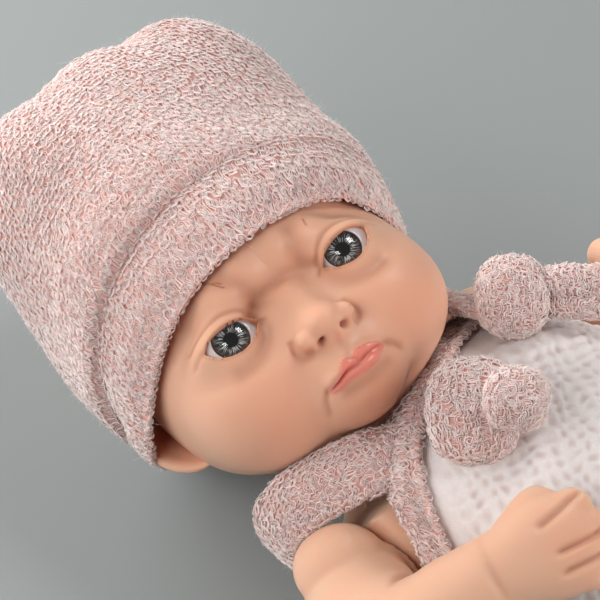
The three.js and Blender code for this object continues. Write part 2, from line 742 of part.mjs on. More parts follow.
// Strap: a flat band laid over the shoulder, found where rays from inside leave the torso
function strap(side) {
  const steps = 16;
  const spots = [];
  for (let k = 0; k <= steps; k += 1) {
    const angle = blend(114, 257, k / steps) * THREE.MathUtils.DEG2RAD;
    const over = Math.sin(Math.PI * k / steps) ** 0.8;
    const y = garmentShift * (1 - over) + side * (strapHalfSpread + 5.6 * over);
    const from = vec(-40, y, 28);
    const way = vec(Math.cos(angle), 0, Math.sin(angle));
    let near = 0;
    let far = 70;
    for (let i = 0; i < 40; i += 1) {
      const mid = (near + far) / 2;
      const p = from.clone().addScaledVector(way, mid);
      const within = p.x > torsoStart && torsoLevel(p) < 0;
      if (within) near = mid;
      else far = mid;
    }
    const at = from.clone().addScaledVector(way, near);
    spots.push({ at, up: torsoNormal(at) });
  }
  const band = solid(bag(8, steps, (u, v) => {
    const k = Math.round(v * steps);
    const spot = spots[k];
    const ahead = spots[Math.min(steps, k + 1)].at.clone().sub(spots[Math.max(0, k - 1)].at).normalize();
    const across = spot.up.clone().cross(ahead).normalize();
    const turn = 2 * Math.PI * u;
    const open = v <= 0 || v >= 1 ? 0 : 1;
    const half = (strapWidth / 2) * open;
    const thick = (strapThick / 2) * open;
    return spot.at.clone()
      .addScaledVector(across, half * signedPower(Math.cos(turn), 0.5))
      .addScaledVector(spot.up, 2 * fit + thick + thick * signedPower(Math.sin(turn), 0.6));
  }));
  const arm = shoulder(side);
  return largest(band.subtract(rod(arm.at, arm.out, armFaceRadius + 1, -10, 20, 20)));
}

function bow(centre, first, second) {
  const lift = vec(0, 0, 1);
  return joined([
    pebble(centre.clone().add(first), vec(bowLobe + 1, bowLobe, bowLobe * 0.72), 10, 7),
    pebble(centre.clone().add(second), vec(bowLobe, bowLobe, bowLobe * 0.76), 10, 7),
    pebble(centre.clone().addScaledVector(lift, 1), vec(5, 6.5, 6), 8, 6),
  ]);
}

function legBand(side) {
  const joint = hip(side);
  const inner = legFaceRadius + 1.6;
  const outer = inner + legBandWidth;
  const low = fit;
  const high = fit + 4.4;
  const swell = outer + 0.6;
  const loop = [[inner, low], [outer, low], [swell, low + 1.6], [outer, high], [inner, high], [inner, low]];
  return turned(joint.at, joint.out, loop, 24);
}

// Assembly

const doll = new THREE.Group();
doll.name = 'baby_doll';
const names = [[-1, 'right'], [1, 'left']];

doll.add(node('head_shell', headShell(), finish.vinyl));
for (const [side, name] of names) {
  const eye = eyeParts(side);
  doll.add(node(`${name}_sclera`, eye.white, finish.eye_white));
  doll.add(node(`${name}_iris`, eye.iris, finish.iris_grey));
  doll.add(node(`${name}_cornea`, eye.clear, finish.clear_dome));
}
doll.add(node('neck_knob', neckKnob(), finish.knob_plastic));
doll.add(node('torso_shell', torsoShell(), finish.vinyl));
doll.add(node('right_arm', rightArm(), finish.vinyl));
doll.add(node('left_arm', leftArm(), finish.vinyl));
const panels = romperPanels();
doll.add(node('romper_front', panels.front, finish.waffle_white));
doll.add(node('romper_back', panels.back, finish.waffle_white));
doll.add(node('neckline_band', neckBand(), finish.knit_rose));
for (const [side, name] of names) {
  doll.add(node(`${name}_leg`, legBody(side), finish.vinyl));
  doll.add(node(`${name}_strap`, strap(side), finish.knit_rose));
  doll.add(node(`${name}_leg_band`, legBand(side), finish.knit_rose));
}
doll.add(node('right_bow', bow(rightBowAt, vec(-6.5, 0, -1), vec(6, 1, 1)), finish.knit_rose));
doll.add(node('left_bow', bow(leftBowAt, vec(-7, 0, 0), vec(9, 2, -0.5)), finish.knit_rose));
doll.add(node('hat_crown', hatCrown(), finish.knit_rose));
doll.add(node('hat_cuff', hatCuff(), finish.knit_rose));

export default doll;
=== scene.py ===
# %% [markdown]
# # A newborn baby doll in a knit hat and a romper
# The doll lies on its back with its head turned to one side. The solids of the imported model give
# every place and size. This script dresses them: vinyl skin with a painted face, glass-like eyes,
# yarn that really loops row by row, and a brushed waffle cloth. All numbers are millimetres in the
# doll's own frame: +X to the feet, +Y to its left, +Z up out of its front.

# %% Load the frame
import math

import bpy
import numpy as np
from mathutils import Matrix, Vector


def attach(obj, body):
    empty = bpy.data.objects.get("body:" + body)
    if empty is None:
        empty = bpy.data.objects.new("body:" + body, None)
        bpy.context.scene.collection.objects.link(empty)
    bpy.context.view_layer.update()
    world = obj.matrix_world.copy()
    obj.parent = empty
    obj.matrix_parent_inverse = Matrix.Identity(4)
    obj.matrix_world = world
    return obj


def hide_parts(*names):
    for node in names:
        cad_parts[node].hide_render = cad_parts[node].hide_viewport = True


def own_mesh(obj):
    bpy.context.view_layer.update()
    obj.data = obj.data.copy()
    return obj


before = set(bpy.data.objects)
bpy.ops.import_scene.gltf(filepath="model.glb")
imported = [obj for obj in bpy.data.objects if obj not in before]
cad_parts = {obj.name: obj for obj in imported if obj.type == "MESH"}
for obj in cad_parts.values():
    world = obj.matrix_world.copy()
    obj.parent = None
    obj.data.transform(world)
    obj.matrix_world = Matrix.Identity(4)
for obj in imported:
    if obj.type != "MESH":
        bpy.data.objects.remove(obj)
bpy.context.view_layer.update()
MM = 0.001
sides = ((-1, "right"), (1, "left"))
rng = np.random.default_rng(20)

# %% [markdown]
# ## Camera, floor and light
# The camera looks down on the face from the doll's right. A long lens keeps the face natural.
# The floor is a plain grey sheet. Four wide soft lamps stand round the doll: two past the hat, one on
# its right and one past its feet. They are kept out of mirror reflections, as crossed filters do in
# a studio. A smaller lamp high up gives the window shine in the eyes.


# %% Camera
def unit(v):
    """Each row of v divided by its own length."""
    return v / np.linalg.norm(v, axis=-1, keepdims=True)


camera_aim = np.array([-87.7, -6.15, 91.6])
camera_turn, camera_rise, camera_reach = math.radians(20), math.radians(45), 620.0
back = np.array([
    math.sin(camera_turn) * math.cos(camera_rise),
    -math.cos(camera_turn) * math.cos(camera_rise),
    math.sin(camera_rise),
])
right = np.array([math.cos(camera_turn), math.sin(camera_turn), 0.0])
camera = bpy.data.objects.new("camera", bpy.data.cameras.new("camera"))
bpy.context.scene.collection.objects.link(camera)
camera.data.lens = 143.2
camera.data.sensor_width = 36.0
camera.data.clip_start = 0.01
camera_spot = camera_aim + camera_reach * back
place = Matrix.Identity(4)
for column, axis in enumerate((right, np.cross(back, right), back, camera_spot * MM)):
    for row in range(3):
        place[row][column] = axis[row]
camera.matrix_world = place
bpy.context.scene.camera = camera
print("camera at", [round(x) for x in camera_spot])


# %% Light
lamp_aim, wide_lamp, small_lamp = (-80, 0, 50), 500, 260


def soft_lamp(name, spot, size, power, shines=False):
    """A square area lamp at a point, facing the doll, sizes in mm and power in watts; shines says
    whether glossy surfaces mirror it."""
    lamp = bpy.data.objects.new(name, bpy.data.lights.new(name, "AREA"))
    lamp.data.size = size * MM
    lamp.data.energy = power
    lamp.location = Vector(spot) * MM
    lamp.rotation_euler = (Vector(lamp_aim) - Vector(spot)).to_track_quat("-Z", "Y").to_euler()
    lamp.visible_glossy = shines
    bpy.context.scene.collection.objects.link(lamp)


soft_lamp("hat_side_lamp", (-755, -360, 527), wide_lamp, 3.2)
soft_lamp("far_hat_lamp", (-845, 405, 302), wide_lamp, 8.0)
soft_lamp("near_side_lamp", (-350, -675, 581), wide_lamp, 3.2)
soft_lamp("foot_side_lamp", (775, 90, 302), wide_lamp, 4.4)
soft_lamp("window_lamp", (80, 300, 880), small_lamp, 2.0, shines=True)
world = bpy.data.worlds.new("sky")
bpy.context.scene.world = world
world.use_nodes = True
world.node_tree.nodes["Background"].inputs["Color"].default_value = (1.0, 0.97, 0.95, 1)
world.node_tree.nodes["Background"].inputs["Strength"].default_value = 0.11
bpy.context.scene.view_settings.view_transform = "Standard"
print("lamps:", len(bpy.data.lights))

# %% [markdown]
# ## Shader maths as Python
# A wire is one output socket. Sums, differences and products of wires add Math nodes, so a finish
# reads like a formula. Everything else goes through one method that adds any node.


# %% Wires
class Wire:
    """One socket of a node tree; + - and * with a wire or a number, either way round, add a Math node."""

    def __init__(self, tree, socket=None):
        self.tree = tree
        self.socket = socket

    def add(self, kind, settings=None, inputs=None, out=0):
        """Any node: settings are its own properties, inputs its sockets by name or number."""
        node = self.tree.nodes.new(kind)
        for key, value in (settings or {}).items():
            setattr(node, key, value)
        for key, value in (inputs or {}).items():
            if isinstance(value, Wire):
                self.tree.links.new(value.socket, node.inputs[key])
            else:
                node.inputs[key].default_value = value
        return Wire(self.tree, node.outputs[out])

    def math(self, operation, a, b):
        return self.add("ShaderNodeMath", {"operation": operation}, {0: a, 1: b})

    def __add__(self, other):
        return self.math("ADD", self, other)

    def __sub__(self, other):
        return self.math("SUBTRACT", self, other)

    def __rsub__(self, other):
        return self.math("SUBTRACT", other, self)

    def __mul__(self, other):
        return self.math("MULTIPLY", self, other)

    __radd__ = __add__
    __rmul__ = __mul__

    def mix(self, share, a, b):
        """Colour a where share is 0 and colour b where it is 1."""
        sockets = {0: share, 6: a, 7: b}
        return self.add("ShaderNodeMix", {"data_type": "RGBA"}, sockets, out=2)

    def noise(self, scale, detail=2.0):
        """Cloudy noise over the piece's own place; scale is cells to the metre."""
        spot = self.add("ShaderNodeTexCoord", out=3)
        return self.add("ShaderNodeTexNoise", None, {"Vector": spot, "Scale": scale, "Detail": detail})

    def painted(self, name):
        """The number that the mesh carries under this name at each corner."""
        return self.add("ShaderNodeAttribute", {"attribute_name": name}, out=2)

    def bump(self, height, strength, distance=0.0004):
        """A Normal that tilts with the slope of height, which is worth this distance in metres."""
        inputs = {"Height": height, "Strength": strength, "Distance": distance}
        return self.add("ShaderNodeBump", None, inputs)


print("wires add, subtract, multiply and mix")


# %% Finish helpers
def ink(red, green, blue):
    """A colour as a screen shows it, 0 to 255, as the linear colour that a shader wants."""
    share = np.array([red, green, blue]) / 255
    linear = np.where(share < 0.04045, share / 12.92, ((share + 0.055) / 1.055) ** 2.4)
    return (*linear.tolist(), 1.0)


def finish(name, **constants):
    """A material with one Principled shader; constants are its sockets, spaces written as _."""
    material = bpy.data.materials.new(name)
    material.use_nodes = True
    shader = material.node_tree.nodes["Principled BSDF"]
    for key, value in constants.items():
        shader.inputs[key.replace("_", " ")].default_value = value
    return material, shader, Wire(material.node_tree)


def plug(shader, **wires):
    """Joins wires to a shader's sockets by name."""
    for key, wire in wires.items():
        wire.tree.links.new(wire.socket, shader.inputs[key.replace("_", " ")])


print("shader helpers ready")

# %% [markdown]
# ## Surfaces from arrays
# Each piece is a grid of points worked out in one go. These helpers turn such grids into meshes,
# hang them on the body that carries them and paint numbers on their corners.


# %% Curves and amounts
def ease(start, end, x):
    """0 before start, 1 after end, and a smooth cubic between."""
    t = np.clip((x - start) / (end - start), 0, 1)
    return t * t * (3 - 2 * t)


def signed_power(x, power):
    """The power of the size of x, with the sign of x; below 1 it squares off a sine."""
    return np.sign(x) * np.abs(x) ** power


def through(points, count, closed=False):
    """Smooth curve through the points (Catmull-Rom), sampled evenly in its parameter."""
    p = np.asarray(points, float)
    n = len(p)
    t = np.linspace(0, n if closed else n - 1, count, endpoint=not closed)
    k = np.minimum(t.astype(int), n - 1 if closed else n - 2)
    f = (t - k)[:, None]

    def at(i):
        return p[i % n] if closed else p[np.clip(i, 0, n - 1)]

    a, b, c, d = at(k - 1), at(k), at(k + 1), at(k + 2)
    bend, twist = 2 * a - 5 * b + 4 * c - d, 3 * b - a - 3 * c + d
    return 0.5 * (2 * b + (c - a) * f + bend * f**2 + twist * f**3)


def hump(x, middle, width):
    """1 at the middle, falling smoothly to 0 within about twice the width."""
    return np.exp(-(((x - middle) / width) ** 2))


def bell(p, middle, size):
    """A hump in space: 1 at the middle point; size is one number or one for each axis."""
    return np.exp(-(((p - np.array(middle)) / np.array(size)) ** 2).sum(1))


def full_turn(count):
    """Even angles once round, without the last, which is the first again."""
    return np.linspace(0, 2 * np.pi, count, endpoint=False)


def square_to(v, way):
    """The part of each row of v that is square to the same row of way, with length 1."""
    return unit(v - way * np.sum(v * way, 1, keepdims=True))


def run_along(line):
    """Distance covered along a row of points, starting at 0."""
    return np.concatenate([[0], np.cumsum(np.linalg.norm(np.diff(line, axis=0), axis=1))])


print("half way along an ease:", ease(0, 1, 0.5))


# %% Faces and meshes
def grid_faces(rows, columns, ring=True, first=0):
    """Quads over a grid of points stored row by row; ring joins the last column to the first."""
    r = np.arange(rows - 1)[:, None] * columns
    c = np.arange(columns if ring else columns - 1)[None, :]
    n = (c + 1) % columns
    return first + np.stack([r + c, r + n, r + columns + n, r + columns + c], -1).reshape(-1, 4)


def capped_faces(rows, columns):
    """Faces of a closed bag: a first point, rows of a ring each, and a last point."""
    ring = np.arange(columns)
    after = (ring + 1) % columns
    last = 1 + rows * columns
    top = np.stack([1 + ring, 1 + after, np.zeros_like(ring)], -1)
    low = 1 + (rows - 1) * columns
    bottom = np.stack([low + after, low + ring, np.full_like(ring, last)], -1)
    return [grid_faces(rows, columns, first=1)[:, ::-1], top, bottom]


def mesh_of(name, points, faces):
    """A smooth mesh from points in mm and a list of index arrays, one row to a face."""
    mesh = bpy.data.meshes.new(name)
    sizes = np.concatenate([np.full(len(f), f.shape[1]) for f in faces])
    corners = np.concatenate([f.ravel() for f in faces]).astype(np.int32)
    mesh.vertices.add(len(points))
    mesh.vertices.foreach_set("co", (np.asarray(points) * MM).astype(np.float32).ravel())
    mesh.loops.add(len(corners))
    mesh.loops.foreach_set("vertex_index", corners)
    mesh.polygons.add(len(sizes))
    mesh.polygons.foreach_set("loop_start", (np.cumsum(sizes) - sizes).astype(np.int32))
    mesh.polygons.foreach_set("use_smooth", np.ones(len(sizes), bool))
    mesh.update(calc_edges=True)
    mesh.validate()
    return mesh


def face_outwards(mesh):
    """Turns a closed mesh right side out if its volume comes out negative."""
    mesh.calc_loop_triangles()
    co = np.empty(len(mesh.vertices) * 3)
    mesh.vertices.foreach_get("co", co)
    ids = np.empty(len(mesh.loop_triangles) * 3, np.int32)
    mesh.loop_triangles.foreach_get("vertices", ids)
    a, b, c = np.moveaxis(co.reshape(-1, 3)[ids.reshape(-1, 3)], 1, 0)
    if np.einsum("ij,ij->", a, np.cross(b, c)) < 0:
        mesh.flip_normals()


print("faces of a bag with three rings of four:", sum(len(f) for f in capped_faces(3, 4)))


# %% Pieces
def shown(name, mesh, material):
    """A new object in the scene with this mesh and this material."""
    obj = bpy.data.objects.new(name, mesh)
    bpy.context.scene.collection.objects.link(obj)
    mesh.materials.append(material)
    return obj


def piece(name, points, faces, material, body, stands_for=(), closed=True):
    """A finished piece: mesh, material, the body it rides on and the solids it stands for."""
    mesh = mesh_of(name, points, faces)
    if closed:
        face_outwards(mesh)
    obj = shown(name, mesh, material)
    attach(obj, body)
    if stands_for:
        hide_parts(*stands_for)
    print(name, "faces:", len(obj.data.polygons))
    return obj


def paint(obj, name, values):
    """Stores one number for each vertex, for the finish to read."""
    layer = obj.data.attributes.new(name, "FLOAT", "POINT")
    layer.data.foreach_set("value", np.asarray(values, np.float32))


print("piece helpers ready")

# %% Floor
floor_material, floor_shader, wire = finish("floor_grey", Roughness=0.9)
plug(floor_shader, Base_Color=wire.mix(wire.noise(3.0), ink(153, 158, 158), ink(157, 162, 161)))
floor_reach = 6000.0
floor_corners = floor_reach * np.array([[-1, -1, 0], [1, -1, 0], [1, 1, 0], [-1, 1, 0]])
floor = shown("floor", mesh_of("floor", floor_corners, [np.array([[0, 1, 2, 3]])]), floor_material)
# Soft pieces that would reach into the floor are flattened this far above it.
floor_gap = 0.05
print("floor at the height of the back rest")

# %% [markdown]
# ## Vinyl skin
# Doll vinyl is slightly see-through, so light softens inside it. The colour is one flesh tone that
# is flushed on cheeks and knuckles, with lips painted coral and glossy. Painted shade darkens it to
# orange brown in folds, creases, nostrils and the ear hollows, under the chin and near the hat's edge.
# Those amounts are painted on the mesh as numbers, worked out from distances to curves. An image
# wrapped round the head could hold them too, but numbers need no unwrapping.

# %% Skin finish
skin, skin_shader, wire = finish(
    "vinyl_skin", Subsurface_Weight=0.45, Subsurface_Radius=(1.0, 0.35, 0.2),
    Subsurface_Scale=0.006, Specular_IOR_Level=0.36, Coat_Roughness=0.1,
)
patch = wire.noise(38.0)
colour = wire.mix(patch * 0.6, ink(234, 188, 160), ink(230, 181, 152))
colour = wire.mix(wire.painted("flush"), colour, ink(228, 158, 130))
# Painted shade: folds, creases, hollows, the chin's underside and the hat's edge darken the skin.
colour = wire.mix(wire.painted("painted_shade"), colour, ink(164, 86, 54))
colour = wire.mix(wire.painted("lip"), colour, ink(228, 138, 122))
colour = wire.mix(wire.painted("brow"), colour, ink(150, 78, 58))
plug(skin_shader, Base_Color=colour)
plug(skin_shader, Roughness=wire.noise(240.0) * 0.08 + 0.36 - wire.painted("lip") * 0.24)
plug(skin_shader, Coat_Weight=wire.painted("lip") * 0.7)
plug(skin_shader, Normal=wire.bump(wire.noise(2600.0), 0.06))
print("skin finish made")


def skin_piece(name, points, faces, body, stands_for, marks):
    """A vinyl piece with its painted amounts; a missing one is zero all over."""
    obj = piece(name, points, faces, skin, body, stands_for)
    for mark in ("flush", "painted_shade", "lip", "brow"):
        paint(obj, mark, marks.get(mark, np.zeros(len(obj.data.vertices))))


# %% [markdown]
# ## The head
# The real head is one hollow moulding. It could be sculpted by hand. Here it is a smooth union of
# rounded masses, such as skull, jaw, cheeks and nose, so that each can be moved by its numbers.
# Its axes are l to the doll's left, f out of the face and u to the crown. A fan of rays leaves the
# middle of the head, closest together round the nose, and each ray stops where the merged masses
# end. Folds, lips and nostrils then push the skin in or out along curves drawn on the face.

# %% Head frame
neck_pivot = np.array([-72.0, 0, 38.0])
face_axis = unit(np.array([0.138, -0.380, 0.915]))
left_axis = np.array([0.503, 0.823, 0.266])
left_axis = unit(left_axis - face_axis * (left_axis @ face_axis))
crown_axis = np.cross(face_axis, left_axis)
head_axes = np.stack([left_axis, face_axis, crown_axis])
head_origin = neck_pivot + 12.0 * face_axis + 31.0 * crown_axis


def placed(p):
    """Head coordinates (l, f, u) to the doll's frame."""
    return head_origin + p @ head_axes


eye_middle = np.array([19.2, 29.4, -0.8])
eye_radius = 11.0
# Each mass: its middle (l, f, u), its half sizes, and how wide it blends with those before it.
head_masses = {
    "skull": ((0, -5, 14), (41, 45, 40), 0),
    "jaw": ((0, 6, -13), (30, 33, 25), 12),
    "temple": ((27, 9, -5), (13.5, 22, 18), 10),
    "cheek": ((20, 22, -16), (17.5, 18, 16), 10),
    "chin": ((0, 29.5, -31.8), (9.5, 8.5, 6.8), 8),
    "muzzle": ((0, 31, -26), (13, 11, 10), 7),
    "lids": ((19.2, 30.6, -0.8), (12, 11, 10.2), 4),
    "brow": ((9, 34.2, 9), (11, 7.6, 6.5), 6),
    "nose_bridge": ((0, 37.5, -7.5), (4.6, 6, 8.5), 5),
    "nose_tip": ((0, 42, -14.5), (6, 6.5, 5), 5),
    "nostril_wing": ((6.4, 42.2, -15.5), (3.0, 3.7, 3.0), 1.2),
    "upper_lip": ((3.8, 39.6, -26.8), (5.4, 4.2, 2.1), 1.8),
    "lower_lip": ((0, 39.2, -30.0), (6.6, 4.3, 2.1), 1.6),
}
print("head middle", np.round(head_origin, 1))


# %% Head skin
def to_left(p):
    """The points with l made positive, so that what is written for the left side serves for both."""
    return np.column_stack([np.abs(p[:, 0]), p[:, 1:]])


def head_distance(p):
    """Distance to the merged masses: each is a scaled ball, joined with a smooth minimum."""
    q = to_left(p)
    total = None
    for centre, half, reach_in in head_masses.values():
        s = (q - np.array(centre)) / np.array(half)
        near = np.sqrt((s * s).sum(1))
        slope = np.sqrt(((s / np.array(half)) ** 2).sum(1))
        d = near * (near - 1) / np.maximum(slope, 1e-6)
        if total is None:
            total = d
            continue
        h = np.maximum(reach_in - np.abs(total - d), 0) / reach_in
        total = np.minimum(total, d) - h * h * reach_in / 4
    return total


def march(start, way, reach_out, steps=34):
    """Walks from the far end of each ray towards its start until it meets the head."""
    far = np.full(len(way), reach_out)
    for _ in range(steps):
        far -= 0.9 * head_distance(start + way * far[:, None])
    return start + way * far[:, None]


def head_normal(p):
    """The way in which the distance to the head grows fastest, from small steps along each axis."""
    step = 0.05
    slopes = [head_distance(p + step * axis) - head_distance(p - step * axis) for axis in np.eye(3)]
    return unit(np.stack(slopes, 1))


rows, columns = 236, 400
# This share of the rows covers the face, up to this angle from the nose; the rest goes round the back.
face_rows, face_angle = 0.8, 104
run = (np.arange(rows) + 1.0) / (rows + 1)
behind = (180 - face_angle) * (run - face_rows) / (1 - face_rows)
open_angle = np.radians(np.where(run < face_rows, face_angle * run / face_rows, face_angle + behind))
round_angle = full_turn(columns)
middle = np.array([0.0, -2, 2])
nose_way = unit(np.array([0.0, 50, -16]) - middle)
across_way = np.array([1.0, 0, 0])
over_way = np.cross(nose_way, across_way)
opened, turned = np.meshgrid(open_angle, round_angle, indexing="ij")
ways = (np.cos(opened)[..., None] * nose_way + (np.sin(opened) * np.cos(turned))[..., None] * across_way
        + (np.sin(opened) * np.sin(turned))[..., None] * over_way).reshape(-1, 3)
ways = np.concatenate([nose_way[None], ways, -nose_way[None]])
skin_points = march(middle, ways, 90.0)
print("head points", len(skin_points))


# %% [markdown]
# ## Eyelids, folds and lips
# The lid line is a closed curve on the face. Skin points next to it are moved onto it, so the edge
# is clean, and points inside it drop behind the eyeball. A Boolean cut could open the lids, but it
# would leave long thin faces round the edge. Folds are soft grooves along curves, and the lips are
# the part of the muzzle between an upper bow, a slit and a lower curve.


# %% Face curves
def curve_distance(p, curve):
    """Distance in the face plane (l, u) from each point to a sampled curve, and the nearest sample."""
    gap = np.hypot(p[:, None, 0] - curve[None, :, 0], p[:, None, 2] - curve[None, :, 1])
    nearest = gap.argmin(1)
    return gap[np.arange(len(p)), nearest], nearest


def groove(p, points, width):
    """1 on a smooth curve through (l, u) points, falling to 0 as a bell of this half width."""
    gap, _ = curve_distance(p, through(points, 60))
    return hump(gap, 0, width)


lid_line = [(11.3, -1.4), (13.9, 1.1), (17.3, 2.5), (21.0, 2.9), (24.5, 2.4), (26.4, 1.5), (27.4, 0.6),
            (26.9, -0.9), (25.7, -2.8), (22.9, -4.9), (18.9, -5.8), (14.8, -4.7), (12.3, -2.8)]
lids = through(lid_line, 220, closed=True)


def inside_lids(p):
    """True where (|l|, u) lies inside the lid line, by counting crossings of a level ray."""
    a, b = lids, np.roll(lids, -1, axis=0)
    x, y = np.abs(p[:, 0:1]), p[:, 2:3]
    crosses = (a[:, 1] > y) != (b[:, 1] > y)
    climb = np.where(b[:, 1] == a[:, 1], 1e-9, b[:, 1] - a[:, 1])
    at = a[:, 0] + (y - a[:, 1]) * (b[:, 0] - a[:, 0]) / climb
    return (np.sum(crosses & (x < at), axis=1) % 2) == 1


face_from, eye_field, no_lid_near = 12, 16, 99.0
front = skin_points[:, 1] > face_from
mirrored = to_left(skin_points)
lid_gap = np.full(len(skin_points), no_lid_near)
lid_spot = np.zeros(len(skin_points), int)
from_eye = mirrored - eye_middle
near_eye = front & (np.hypot(from_eye[:, 0], from_eye[:, 2]) < eye_field)
lid_gap[near_eye], lid_spot[near_eye] = curve_distance(mirrored[near_eye], lids)
within = np.zeros(len(skin_points), bool)
within[near_eye] = inside_lids(skin_points[near_eye])
print("points inside the lids:", within.sum())

# %% Lips, folds and flush
face_ids = np.nonzero(front)[0]
face_points = skin_points[face_ids]
across, _, upward = face_points.T


def mouth_line(*line):
    """Height of a smooth curve through (l, u) points, over each point of the face."""
    return np.interp(across, *through(line, 90).T)


top = mouth_line((-11.0, -28.3), (-7.4, -27.7), (-4.6, -26.3), (-2.4, -25.0), (-0.5, -25.9), (1.4, -24.9),
                 (3.6, -25.4), (6.8, -26.7), (9.0, -27.6))
slit = mouth_line((-11.0, -28.4), (-7.4, -28.5), (-3.7, -28.1), (-0.7, -28.7), (2.6, -28.0), (9.0, -27.7))
low = mouth_line((-11.0, -28.5), (-7.4, -30.2), (-4.4, -30.7), (-1.4, -31.1), (1.8, -31.3), (5.3, -30.5),
                 (9.0, -27.8))
in_mouth = ease(-11.4, -10.2, across) * (1 - ease(8.2, 9.4, across)) * (face_points[:, 1] > 30)
lip = in_mouth * ease(-0.6, 0.5, top - upward) * ease(-0.6, 0.5, upward - low)
slit_depth = in_mouth * hump(upward, slit, 0.42)
upper_share = np.clip((upward - slit) / np.maximum(top - slit, 0.3), 0, 1)
lower_share = np.clip((slit - upward) / np.maximum(slit - low, 0.3), 0, 1)
swell = np.sin(np.pi * np.where(upward > slit, upper_share, lower_share)) * lip

# Each groove: points (l, u), half width, depth and how dark its painted shade is.
both_sides = [
    ([(10.6, -0.2), (13.4, 3.2), (18.0, 5.5), (23.7, 6.0), (29.4, 4.6)], 0.7, 0.5, 0.30),
    ([(10.2, -1.8), (11.4, -5.8), (15.2, -9.0), (20.3, -10.2), (24.0, -9.8)], 2.3, 0.9, 0.26),
    ([(9.2, -2.0), (10.4, -1.1), (11.6, -1.1)], 0.9, 0.4, 0.40),
    ([(27.7, 1.0), (29.4, 0.9), (30.8, 0.2)], 0.8, 0.3, 0.24),
    ([(9.0, -12.4), (9.8, -15.2), (9.2, -17.6), (7.4, -18.6)], 0.9, 0.7, 0.26),
    ([(7.6, 1.6), (8.4, 5.2), (9.6, 9.2), (11.6, 13.0)], 2.8, 1.3, 0.26),
    ([(0.0, -20.2), (0.0, -24.8)], 1.2, 0.4, 0.06),
]
one_side = [
    ([(-10.6, -28.3), (-12.0, -29.6), (-12.6, -31.6)], 1.0, 0.6, 0.24),
    ([(9.2, -27.6), (11.2, -28.2), (12.8, -29.8)], 1.1, 0.8, 0.36),
    ([(-7.0, -32.0), (0.0, -33.2), (6.6, -32.0)], 1.6, 0.8, 0.22),
    ([(-11.0, 0.5), (-6.0, 2.6), (0.0, 3.0), (6.0, 2.4), (10.5, 0.6)], 1.8, 0.9, 0.24),
    ([(-11.6, 0.0), (-9.2, 1.6)], 2.2, 0.6, 0.55),
]
nostrils = bell(mirrored[face_ids], (3.8, 44.2, -18.5), (1.1, 2.0, 0.8))
marks = [(nostrils, 2.2, 0.8)]
for where, grooves in ((mirrored[face_ids], both_sides), (face_points, one_side)):
    marks += [(groove(where, curve, width), depth, shade_amount) for curve, width, depth, shade_amount in grooves]
# The grooves, the nostrils and the lip slit are darkened here as painted shade.
lift = 0.9 * swell - 0.6 * slit_depth
dark = 0.24 * slit_depth
for mark, depth, shade_amount in marks:
    lift -= depth * mark
    dark = np.maximum(dark, shade_amount * mark)


def on_face(values):
    """Numbers for the face's points, spread to all points of the head with 0 elsewhere."""
    whole = np.zeros(len(skin_points))
    whole[face_ids] = values
    return whole


points = skin_points + head_normal(skin_points) * on_face(lift)[:, None]
print("lip points:", int((lip > 0.5).sum()))

# %% Lids and painted amounts
snap_gap, march_from, lid_depth = 0.30, 70.0, 4.4
snapped = near_eye & (lid_gap < snap_gap)
edge = lids[lid_spot[snapped]]
lid_start = np.stack([np.sign(skin_points[snapped, 0]) * edge[:, 0], np.zeros(len(edge)), edge[:, 1]], 1)
points[snapped] = march(lid_start, np.tile([0, 1.0, 0], (len(edge), 1)), march_from)
points[within & ~snapped, 1] = eye_middle[1] + lid_depth
rim = hump(lid_gap, 0, 0.55)
cheek = bell(mirrored, (22, 30, -21), (11, 16, 10))
nose_tip, chin = bell(points, (0, 47, -15), 7.0), bell(points, (0, 39, -36), 7.0)
ear_side = bell(mirrored, (40, -4, -8), 9.0)
flush = 0.22 + 0.5 * cheek + 0.1 * nose_tip + 0.35 * chin + 0.3 * ear_side + 0.4 * rim * front
# Painted shade between the eyes, on the forehead by the hat's edge, under the chin and by the left mouth
# corner, and a painted shadow along the lid edges.
between_eyes, forehead = bell(points, (0, 40, 1), (10, 12, 8)), bell(points, (0, 38, 13), (40, 24, 13))
under_chin, left_corner = bell(points, (2, 31, -38), (15, 12, 5)), bell(points, (12, 34, -30), (8, 10, 6))
shade = 0.20 * between_eyes + 0.13 * forehead + 0.5 * under_chin + 0.14 * left_corner
painted_shade = on_face(dark) + shade + 0.35 * rim * near_eye
hairs = (
    [(-15.4, 16.9), (-13.6, 13.6), (-12.4, 10.8)],
    [(-13.2, 14.2), (-12.0, 12.6)],
    [(16.3, 12.2), (15.4, 9.9)],
)
brow = 0.8 * np.max([groove(face_points, hair, 0.24) for hair in hairs], axis=0)
skin_piece(
    "head_skin", placed(points), capped_faces(rows, columns), "head", ["head_shell"],
    {"flush": np.clip(flush, 0, 1), "painted_shade": np.clip(painted_shade, 0, 1), "lip": on_face(lip),
     "brow": on_face(brow)},
)

# %% [markdown]
# ## Eyes
# Each eye is a turned shape: an off-white ball, a grey iris disc with pale radial fibres and a clear
# dome over it. The fibres are painted on a fine polar grid, so they keep their place at any size.

# %% Eye finishes
eye_white, eye_shader, wire = finish("eye_white", Roughness=0.12)
plug(eye_shader, Base_Color=wire.mix(wire.noise(300.0), ink(214, 203, 200), ink(202, 190, 188)))
iris_finish, iris_shader, wire = finish("iris_grey", Roughness=0.6, Specular_IOR_Level=0.1)
fibre = wire.mix(wire.painted("fibre"), ink(44, 45, 46), ink(206, 208, 204))
plug(iris_shader, Base_Color=wire.mix(wire.painted("dark"), fibre, ink(10, 10, 11)))
dome_finish, _, wire = finish("clear_dome")
clear = wire.add("ShaderNodeBsdfTransparent")
gloss = wire.add("ShaderNodeBsdfGlossy", None, {"Roughness": 0.09})
mixed = wire.add("ShaderNodeMixShader", None, {0: 0.09, 1: clear, 2: gloss})
dome_tree = dome_finish.node_tree
dome_tree.links.new(mixed.socket, dome_tree.nodes["Material Output"].inputs["Surface"])
print("eye finishes: white, iris and dome")


